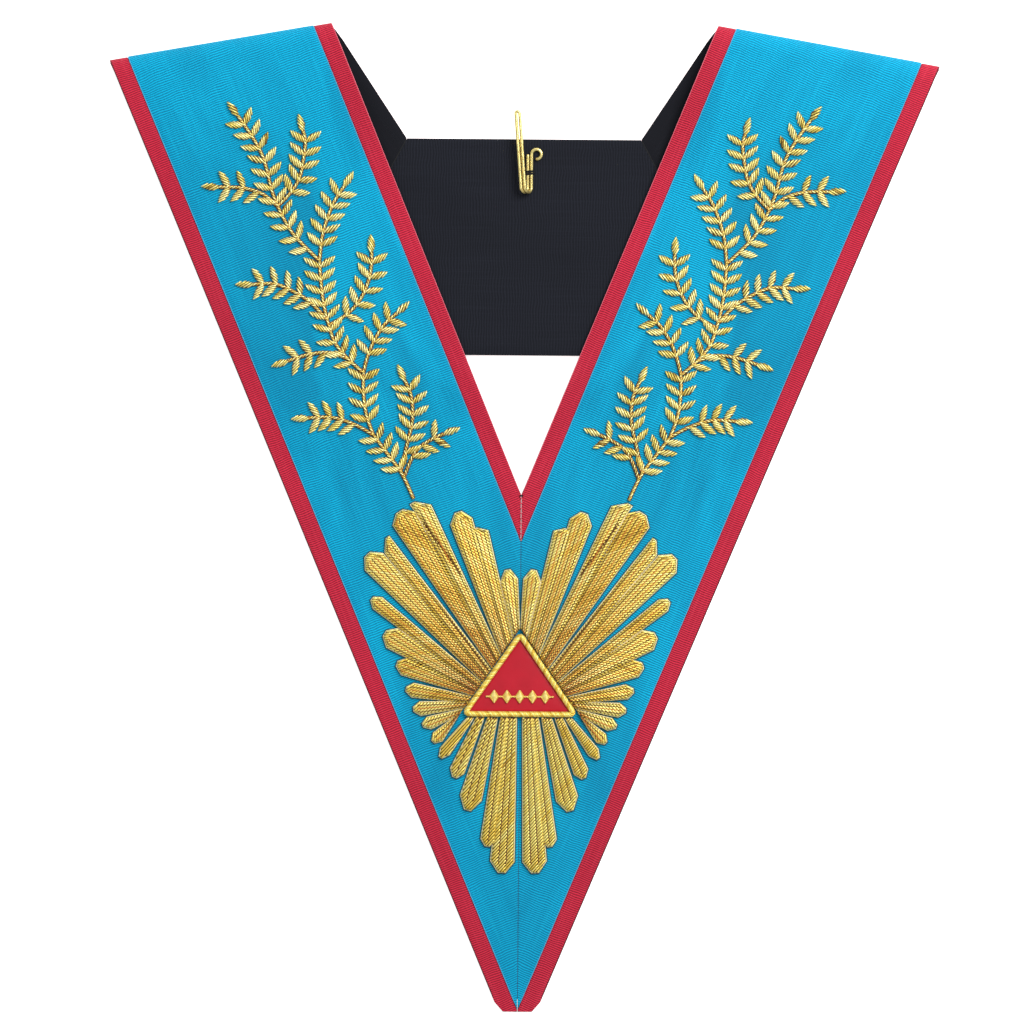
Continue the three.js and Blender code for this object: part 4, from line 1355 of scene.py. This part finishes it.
@dataclass
class GloryRays:
    """Rays on one side of the triangle, filled with slanted bullion between couched lines."""

    side: Side
    wardrobe: Wardrobe
    upper: RayWork = RayWork(0.49, 1.75, 0.3, 0.9, 0.64, 0.24)
    lower: RayWork = RayWork(0.4, 3.4, 0.7, 0.6, 0.6, 0.3)
    strand_pitch: float = 1.05
    strand_turn: float = 40.0  # strands lie this far off the blade's own direction
    foot_slant: float = 48.0  # and at this angle on the blades below the triangle
    strand_rise: float = 0.08
    least_strand: float = 0.8
    pad_height: float = 1.5
    pad_slope: float = 1.1
    outline_radius: float = 0.32
    outline_rise: float = 0.3
    shade_radius: float = 0.26
    shade_rise: float = 0.02
    border: float = 0.55
    dash_radius: float = 0.17
    dash_length: float = 0.7
    dash_pitch: float = 1.6
    dash_inset: float = 0.85
    dash_rise: float = 1.45

    def work(self, ray: Ray) -> RayWork:
        """How the blades of a ray are worked."""
        return self.lower if ray.base is Base.FOOT else self.upper

    def outline(self, ray: Ray, blade: Blade) -> np.ndarray:
        """Outline of a blade in plan, right half, in order round it."""
        near, far = (TRIANGLE.base_point(ray.base, x) for x in (blade.start, blade.stop))
        end = np.array(blade.end) * CUT.ribbon_width
        axis = normed(end - (near + far) / 2)
        half = -left_of(axis) * blade.width * CUT.ribbon_width / 2
        tip = end + axis * blade.point * CUT.ribbon_width + blade.skew * half
        return np.array([near, end - half, tip - 0.3 * half, tip + 0.3 * half, end + half, far])

    def slant(self, ray: Ray, outline: np.ndarray) -> float:
        """Direction of the strands of a blade, in degrees from +X, right half."""
        if ray.base is Base.FOOT:
            return self.foot_slant * self.side.value
        return heading(outline[2] - outline[0]) - self.strand_turn

    def bands(self, ray: Ray, outline: np.ndarray) -> int:
        """How many ridges run along a blade: narrow ones above, wide ones below the triangle."""
        return max(1, int(round(float(np.linalg.norm(outline[4] - outline[1])) / self.work(ray).band_width)))

    def across(self, outline: np.ndarray, points: np.ndarray) -> np.ndarray:
        """Shares of the blade's width at points in plan, from its first edge."""
        foot, top = (outline[0] + outline[5]) / 2, (outline[1] + outline[4]) / 2
        way, offset = normed(top - foot), points - foot
        along = np.clip(offset @ way / np.linalg.norm(top - foot), 0, 1)
        widths = [np.linalg.norm(outline[5] - outline[0]), np.linalg.norm(outline[4] - outline[1])]
        return 0.5 - offset @ left_of(way) / np.interp(along, (0, 1), widths)

    def fill(self, draft: MeshDraft, ray: Ray, outline: np.ndarray, rng: random.Random) -> None:
        """Fills a blade with strands laid across it, whose tone drifts from orange to yellow.

        Args:
            draft: Mesh that the strands join.
            ray: The ray that the blade belongs to.
            outline: Outline of the blade in plan, right half.
            rng: Source of small irregularities.
        """
        work, bands = self.work(ray), self.bands(ray, outline)
        thread = Thread(self.strand_pitch * work.strand_share)
        drift = rng.uniform(-0.15, 0.15)
        for a, b in hatch(outline, self.slant(ray, outline), self.strand_pitch):
            drift = 0.9 * drift + rng.gauss(0, 0.04)
            length = float(np.linalg.norm(b - a))
            if length < self.least_strand:
                continue
            plan = a + np.outer(np.linspace(0, 1, 5 + int(length / work.step)), b - a)
            pad = self.pad_height * np.clip(inside_depth(outline, plan) / self.pad_slope, 0, 1) ** 0.6
            dip = work.ridge * np.abs(np.sin(bands * np.pi * self.across(outline, plan))) ** 0.5
            tone = float(np.clip(0.6 + drift + rng.gauss(0, 0.08), 0, 1))
            thread.rest(draft, plan, pad + dip + self.strand_rise, tone, self.side)

    def line(self, draft: MeshDraft, points: np.ndarray, rise: float, radius: float) -> None:
        """Lays a couched thread through points in plan."""
        fine = [points[0]]
        for a, b in zip(points[:-1], points[1:]):
            steps = max(2, int(np.linalg.norm(b - a) / 2.0))
            fine.extend(a + (b - a) * k / steps for k in range(1, steps + 1))
        Thread(radius, taper=0.7).rest(draft, np.array(fine), rise, 0.6, self.side)

    def dashes(self, draft: MeshDraft, a: np.ndarray, b: np.ndarray, rng: random.Random) -> None:
        """Sews short dark couching stitches along a line."""
        way = normed(b - a)
        thread = Thread(self.dash_radius, sides=5, taper=0.6)
        for mark in np.arange(1.0, float(np.linalg.norm(b - a)) - 1.2, self.dash_pitch):
            start = a + way * (mark + rng.uniform(-0.2, 0.2))
            plan = start + np.outer(np.array([0.0, 0.5, 1.0]) * self.dash_length, way)
            thread.rest(draft, plan, self.dash_rise + np.array([-0.15, 0.05, -0.15]), side=self.side)

    def couch(self, stitches: MeshDraft, middles: MeshDraft, ray: Ray, outline: np.ndarray,
              rng: random.Random) -> None:
        """Sews the lines over a blade: small stitches inside its edges, and threads along it.

        Args:
            stitches: Mesh of the dark stitches.
            middles: Mesh of the orange threads.
            ray: The ray that the blade belongs to.
            outline: Outline of the blade in plan, right half.
            rng: Source of small irregularities.
        """
        out = normed(outline[4] - outline[1])

        def ends(share: float, inset: float) -> tuple[np.ndarray, np.ndarray]:
            """Foot and shoulder of a line along the blade, at a share of its width."""
            return (outline[0] + share * (outline[5] - outline[0]) + out * inset * 0.5,
                    outline[1] + share * (outline[4] - outline[1]) + out * inset)

        for share, inset in ((0.0, self.dash_inset), (1.0, -self.dash_inset)):
            self.dashes(stitches, *ends(share, inset), rng)
        work, bands = self.work(ray), self.bands(ray, outline)
        tip = (outline[2] + outline[3]) / 2
        # laid low between the crowns of the strands, so that they show as rows of dots
        for k in range(1, bands):
            foot, shoulder = ends(k / bands, 0.0)
            draft = middles if k % 2 == 0 and work is self.upper else stitches
            self.line(draft, np.array([foot, shoulder, shoulder + 0.45 * (tip - shoulder)]),
                      self.pad_height + work.line_rise, work.line_radius)

    def outset(self, outline: np.ndarray) -> np.ndarray:
        """The outline of a blade moved out by the width of its border."""
        out = normed(outline[4] - outline[1])
        axis = left_of(out)
        axis = -axis if axis @ (outline[2] - outline[0]) < 0 else axis
        return outline + self.border * np.array([-out, -out, axis - 0.4 * out, axis + 0.4 * out, out, out])

    def dress(self) -> None:
        """Builds the strands, outlines and couching of every ray on this side, and a dark teal line round
        each blade as painted shade.
        """
        rng = random.Random(23)
        outlines, stitches, middles, shades = MeshDraft(), MeshDraft(), MeshDraft(), MeshDraft()
        for ray in RAYS:
            strands = MeshDraft()
            for blade in ray.blades:
                outline = self.outline(ray, blade)
                self.fill(strands, ray, outline, rng)
                self.line(outlines, outline, self.outline_rise, self.outline_radius)
                # a dark teal line round each blade is painted shade, where the padded blade shades the blue
                self.line(shades, self.outset(outline), self.shade_rise, self.shade_radius)
                self.couch(stitches, middles, ray, outline, rng)
            node = f"{self.side.label}_{ray.name}"
            strands.piece(f"{node}_bullion", self.wardrobe.bullion, "gold_bullion")
            self.wardrobe.pad(node)
        for suffix, draft, finish in (("outlines", outlines, self.wardrobe.outline),
                                      ("couching", stitches, self.wardrobe.couching),
                                      ("middles", middles, self.wardrobe.orange),
                                      ("borders", shades, self.wardrobe.border)):
            draft.piece(f"{self.side.label}_rays_{suffix}", finish, "gold_bullion")


@dataclass
class TrianglePatch:
    """Red satin triangle in a twisted gold rope, with a plain row of lozenges across it."""

    wardrobe: Wardrobe
    ply_tones: tuple[float, ...] = (0.3, 0.8, 0.5, 0.75, 0.4)
    ply_radius: float = 0.46
    ply_offset: float = 0.92
    twist_pitch: float = 5.0
    corner_radius: float = 1.6
    rope_steps: int = 420
    patch_inset: float = 0.55
    patch_thickness: float = 0.9
    patch_crown: float = 0.35
    patch_steps: int = 20
    patch_rings: int = 12
    lozenges: int = 5
    lozenge_pitch: float = 6.0
    lozenge_length: float = 6.0
    lozenge_width: float = 4.0
    lozenge_raise: float = 8.2
    lozenge_rise: float = 1.15
    strand_pitch: float = 0.52
    cord_pitch: float = 2.6

    def rounded(self, corners: np.ndarray, radius: float, steps: int) -> np.ndarray:
        """Closed path round corners with small arcs at them."""
        path = []
        for before, here, after in zip(np.roll(corners, 1, axis=0), corners, np.roll(corners, -1, axis=0)):
            a, b = normed(before - here), normed(after - here)
            reach = radius / math.tan(math.acos(float(a @ b)) / 2)
            for share in np.linspace(0, 1, 7):
                path.append(here + reach * ((1 - share) ** 2 * a + share ** 2 * b))
        return evened(np.array(path + [path[0]]), steps, closed=True)

    def rope(self) -> None:
        """Twists the rope from its plies."""
        path = self.rounded(TRIANGLE.corners(0.0), self.corner_radius, self.rope_steps)
        length = float(np.linalg.norm(np.roll(path, -1, axis=0) - path, axis=1).sum())
        phase = np.linspace(0, 2 * np.pi * round(length / self.twist_pitch), len(path), endpoint=False)
        draft = MeshDraft()
        Thread(self.ply_radius, sides=8).twist(draft, path, phase, (self.ply_offset, self.ply_offset),
                                               self.ply_radius + self.ply_offset - 0.1,
                                               self.ply_tones, closed=True)
        draft.piece("triangle_rope_twisted", self.wardrobe.bullion, "gold_bullion", "triangle_rope")

    def patch(self) -> None:
        """Crowns the satin patch a little between its rope."""
        corners = TRIANGLE.corners(-self.patch_inset)
        centre = corners.mean(axis=0)
        base = LIE.seat(corners[1:2] * (0.0, 1.0))[0]
        shares = np.arange(self.patch_steps) / self.patch_steps
        sides = zip(corners, np.roll(corners, -1, axis=0))
        rim = np.concatenate([a + np.outer(shares, b - a) for a, b in sides])
        size, lift = len(rim), self.patch_thickness * 0.55
        rows = [np.column_stack([rim, np.full(size, base)])]
        for k in range(self.patch_rings):
            share = 1 - k / self.patch_rings
            rise = lift + self.patch_crown * math.cos(share * math.pi / 2) ** 0.5 if k else 0.1
            rows.append(np.column_stack([centre + (rim - centre) * share, np.full(size, base + rise)]))
        points = np.vstack([*rows, [[*centre, base + lift + self.patch_crown]]])
        last = (len(rows) - 1) * size
        faces = [(row + j, row + (j + 1) % size, row + size + (j + 1) % size, row + size + j)
                 for row in range(0, last, size) for j in range(size)]
        faces += [(last + j, last + (j + 1) % size, last + size) for j in range(size)]
        faces.append(tuple(range(size))[::-1])
        draft = MeshDraft()
        draft.add_plain(points, faces, points[:, :2])
        piece = draft.piece("triangle_patch_satin", self.wardrobe.satin, "red_satin", "triangle_patch",
                            weld=True)
        declare_sheet(piece, 2 * TRIANGLE.half, TRIANGLE.height)

    def row(self) -> None:
        """Works the row of lozenges and its cord in gold thread."""
        draft = MeshDraft()
        y = -TRIANGLE.drop - TRIANGLE.height + self.lozenge_raise
        first = -(self.lozenges - 1) / 2 * self.lozenge_pitch
        half, tall = self.lozenge_width / 2, self.lozenge_length / 2
        strand, rim_cord = Thread(0.27, taper=0.4), Thread(0.3)
        rng = random.Random(7)
        for x in first + self.lozenge_pitch * np.arange(self.lozenges):
            outline = np.array([[x, y - tall], [x + half, y], [x, y + tall], [x - half, y]])
            for a, b in hatch(outline, 20.0, self.strand_pitch):
                share = np.linspace(0, 1, 6)
                rise = self.lozenge_rise + 0.5 * np.sin(np.pi * share) ** 0.6
                tone = float(np.clip(rng.gauss(0.75, 0.1), 0, 1))
                strand.rest(draft, a + np.outer(share, b - a), rise, tone)
            rim_cord.rest(draft, self.rounded(outline, 0.25, 60), self.lozenge_rise + 0.12, 0.3, closed=True)
        xs = np.linspace(first - self.lozenge_width, self.lozenge_width - first, 70)
        plan = np.column_stack([xs, np.full(len(xs), y)])
        Thread(0.26).twist(draft, plan, xs * 2 * np.pi / self.cord_pitch, (0.22, 0.2),
                           self.lozenge_rise + 0.1, (0.55, 0.55))
        draft.piece("patch_lozenges_worked", self.wardrobe.cord, "gold_bullion", "patch_lozenges")

    def dress(self) -> None:
        """Builds the patch, its rope and the row of lozenges."""
        self.patch()
        self.rope()
        self.row()


@dataclass
class MitreSeams:
    """Black thread laid in the joint of the linings at each end of the yoke."""

    wardrobe: Wardrobe
    radius: float = 0.4
    sink: float = 0.28

    def dress(self) -> None:
        """Lays a thread down both mitres."""
        draft = MeshDraft()
        plan = CUT.yoke_top + np.outer(np.linspace(0.004, 0.996, 50), CUT.yoke_foot - CUT.yoke_top)
        height = np.full(len(plan), LIE.stack - self.sink)
        for side in Side:
            Thread(self.radius, taper=0.8).lay(draft, np.column_stack([mirrored(plan, side), height]))
        draft.piece("yoke_mitre_seams", self.wardrobe.black_thread, "black_lining")


@dataclass
class CentreSeam:
    """Hand stitches that close the notch, and the gathered seam thread below them."""

    wardrobe: Wardrobe
    stitches: int = 9
    first: float = -1.6
    last: float = -20.6
    thread_first: float = -21.5
    thread_end: float = 6.0  # over the point of the collar
    knot_y: float = -0.35

    def dress(self) -> None:
        """Sews the pink stitches, the seam below them and the dark knot at the notch."""
        sewn, seam, knot = MeshDraft(), MeshDraft(), MeshDraft()
        rng = random.Random(5)
        for k, y in enumerate(np.linspace(self.first, self.last, self.stitches)):
            lean = (0.55 if k % 2 else -0.55) + rng.uniform(-0.12, 0.12)
            Thread(0.24, taper=0.5).stitch(sewn, (0.0, y), (lean, 0.8), -0.42, 0.22)
        y = np.linspace(self.thread_first, CUT.point_y + self.thread_end, 120)
        Thread(0.3, taper=0.8).rest(seam, np.column_stack([np.zeros(len(y)), y]), -0.72)
        Thread(0.38, taper=0.5).stitch(knot, (0.0, self.knot_y), (0.9, 0.0), -0.4, 0.2)
        sewn.piece("notch_stitches", self.wardrobe.pink, "red_edging")
        seam.piece("centre_seam_thread", self.wardrobe.seam, "blue_ribbon")
        knot.piece("notch_bar_tack", self.wardrobe.black_thread, "black_lining")


@dataclass
class NapeHook:
    """Double wire hook at the middle of the yoke, tied down with black thread."""

    wardrobe: Wardrobe
    wire: float = 1.5
    wire_sides: int = 14
    wire_steps: int = 520
    tip_sizes: tuple[float, ...] = (0.55, 0.85, 1.0)
    base_length: float = 20.2
    bill_length: float = 37.7
    rise: float = 4.2
    shift: float = 2.9
    lean: float = 2.95
    ring: float = 4.6
    foot: float = 25.0
    side: float = 2.7
    ring_turn: float = 280.0
    ring_steps: int = 14
    gap: float = 0.3
    ties: tuple[float, ...] = (8.4, 8.9, 9.5, 10.0)

    def route(self) -> np.ndarray:
        """Centre line of the wire: ring, base, bend, bill, hairpin and back without a ring."""
        spread, ring, bend = (self.wire + self.gap) / 2, self.ring / 2, self.rise / 2
        ring_y, top = self.base_length - ring, self.bill_length - spread
        half: list[tuple[float, float, float]] = []
        for share in np.linspace(0, 1, self.ring_steps + 1):
            turn = math.radians(180.0 - self.ring_turn * (1 - share))
            half.append((spread + ring + ring * math.cos(turn), ring_y + ring * math.sin(turn), 0.0))
        half.extend((spread, ring_y + (bend - ring_y) * k / 4, 0.0) for k in range(1, 5))
        half.extend((spread, bend * (1 - math.sin(math.pi * k / 8)), bend * (1 - math.cos(math.pi * k / 8)))
                    for k in range(1, 9))
        half.extend((spread, bend + (top - bend) * k / 6, self.rise) for k in range(1, 7))
        arc = [(spread * math.cos(a), top + spread * math.sin(a), self.rise)
               for a in np.linspace(0, math.pi, 9)[1:-1]]
        whole = half + arc + [(-x, y, z) for x, y, z in reversed(half[self.ring_steps:])]
        base = LIE.stack + self.gap + self.wire / 2
        return np.array([(self.side + x - z / self.rise * (self.shift + self.lean * y / self.bill_length),
                          CUT.yoke_top[1] - self.foot + y, base + z) for x, y, z in whole])

    def sweep(self, draft: MeshDraft, route: np.ndarray) -> None:
        """Sweeps the round wire with a section that never twists."""
        radius, turns = self.wire / 2, np.arange(self.wire_sides) * 2 * np.pi / self.wire_sides
        ways = normed(np.gradient(route, axis=0))
        across = np.cross(ways[0], [0.0, 0.0, 1.0])
        rings = []
        for k, (point, way) in enumerate(zip(route, ways)):
            across = normed(across - way * float(across @ way))
            to_end = min(k, len(route) - 1 - k, len(self.tip_sizes) - 1)
            rings.append(point + radius * self.tip_sizes[to_end] * (
                np.outer(np.cos(turns), across) + np.outer(np.sin(turns), np.cross(way, across))))
        run = np.repeat(runs(route), self.wire_sides)
        weave = np.column_stack([run, np.tile(turns * radius, len(route))])
        draft.add_plain(np.vstack(rings), tube_faces(len(route), self.wire_sides, False), weave)

    def dress(self) -> None:
        """Bends the wire and ties its base to the lining."""
        wire, ties = MeshDraft(), MeshDraft()
        self.sweep(wire, smooth_curve(self.route(), self.wire_steps))
        wire.piece("nape_hook_wire", self.wardrobe.brass, "brass_wire", "nape_hook")
        low, share = LIE.stack, np.linspace(-1, 1, 11)
        fall = 0.55 * share ** 2 + 3.6 * np.clip(np.abs(share) - 0.6, 0, 1)
        z = np.maximum(low + 0.1, low + self.gap + self.wire / 2 + 1.05 - fall)
        for y in self.ties:
            plan_y = CUT.yoke_top[1] - self.foot + y + 0.25 * share
            Thread(0.24, taper=0.6).lay(ties, np.column_stack([self.side + share * 2.5, plan_y, z]))
        ties.piece("nape_hook_ties", self.wardrobe.black_thread, "black_lining")


# Studio


@dataclass(frozen=True)
class Lamp:
    """One round soft lamp, aimed at the middle of the collar, in metres and watts."""

    name: str
    place: tuple[float, float, float]
    size: float
    power: float

    def hang(self) -> None:
        """Hangs the lamp in the scene."""
        data = bpy.data.lights.new(self.name, "AREA")
        data.shape = "DISK"
        data.size = self.size
        data.energy = self.power
        lamp = bpy.data.objects.new(self.name, data)
        lamp.location = self.place
        x, y, z = self.place
        lamp.rotation_euler = (math.atan2(math.hypot(x, y), z), 0.0, math.atan2(-y, -x) - math.pi / 2)
        bpy.context.scene.collection.objects.link(lamp)


@dataclass
class Studio:
    """Pale board, soft light and the camera straight above."""

    view_width: float = 480.3
    focus: tuple[float, float] = (-4.3, -8.0)
    roll: float = 0.45
    distance: float = 4.0
    camera_lift: float = 0.004
    sensor: float = 36.0
    clip_end: float = 20.0
    board_size: float = 6.0
    board_drop: float = 0.0004
    room_light: float = 0.45
    lamps: tuple[Lamp, ...] = (Lamp("key", (0.75, 0.85, 1.4), 1.2, 32.0),
                               Lamp("fill", (-0.9, -0.5, 1.6), 1.2, 3.0))

    def board(self) -> None:
        """Lays the board under the collar."""
        bpy.ops.mesh.primitive_plane_add(size=self.board_size, location=(0.0, 0.0, -self.board_drop))
        board = bpy.context.active_object
        board.name = "board"
        board.data.materials.append(PaleBoard().material())

    def lights(self) -> None:
        """Sets a bright room and its soft lamps, the large one above the top of the picture."""
        world = bpy.data.worlds.new("studio")
        bpy.context.scene.world = world
        world.use_nodes = True
        back = world.node_tree.nodes["Background"]
        back.inputs["Color"].default_value = (1.0, 1.0, 1.0, 1.0)
        back.inputs["Strength"].default_value = self.room_light
        for lamp in self.lamps:
            lamp.hang()

    def camera(self) -> None:
        """Hangs the camera over the collar, rolled as the photograph is."""
        data = bpy.data.cameras.new("above")
        data.type = "PERSP"
        data.sensor_width = self.sensor
        data.lens = self.sensor * self.distance / (self.view_width * METRE)
        data.clip_end = self.clip_end
        camera = bpy.data.objects.new("above", data)
        x, y = self.focus[0] * METRE, (self.focus[1] - CUT.centre_y) * METRE
        camera.location = (x, y, self.distance + self.camera_lift)
        camera.rotation_euler = (0.0, 0.0, math.radians(self.roll))
        bpy.context.scene.collection.objects.link(camera)
        bpy.context.scene.camera = camera
        bpy.context.scene.view_settings.view_transform = "Standard"

    def dress(self) -> None:
        """Builds the whole studio."""
        self.board()
        self.lights()
        self.camera()


def main() -> None:
    """Builds every sub-assembly of the collar in order."""
    logging.basicConfig(level=logging.INFO, format="%(name)s: %(message)s")
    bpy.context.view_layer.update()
    Studio().dress()
    wardrobe = Wardrobe()
    for side in Side:
        CollarLeg(side, wardrobe).dress()
    BackYoke(wardrobe).dress()
    MitreSeams(wardrobe).dress()
    for side in Side:
        AcaciaSprig(side, wardrobe).dress()
        GloryRays(side, wardrobe).dress()
    TrianglePatch(wardrobe).dress()
    CentreSeam(wardrobe).dress()
    NapeHook(wardrobe).dress()
    log.info("collar dressed")


if __name__ == "__main__":
    main()
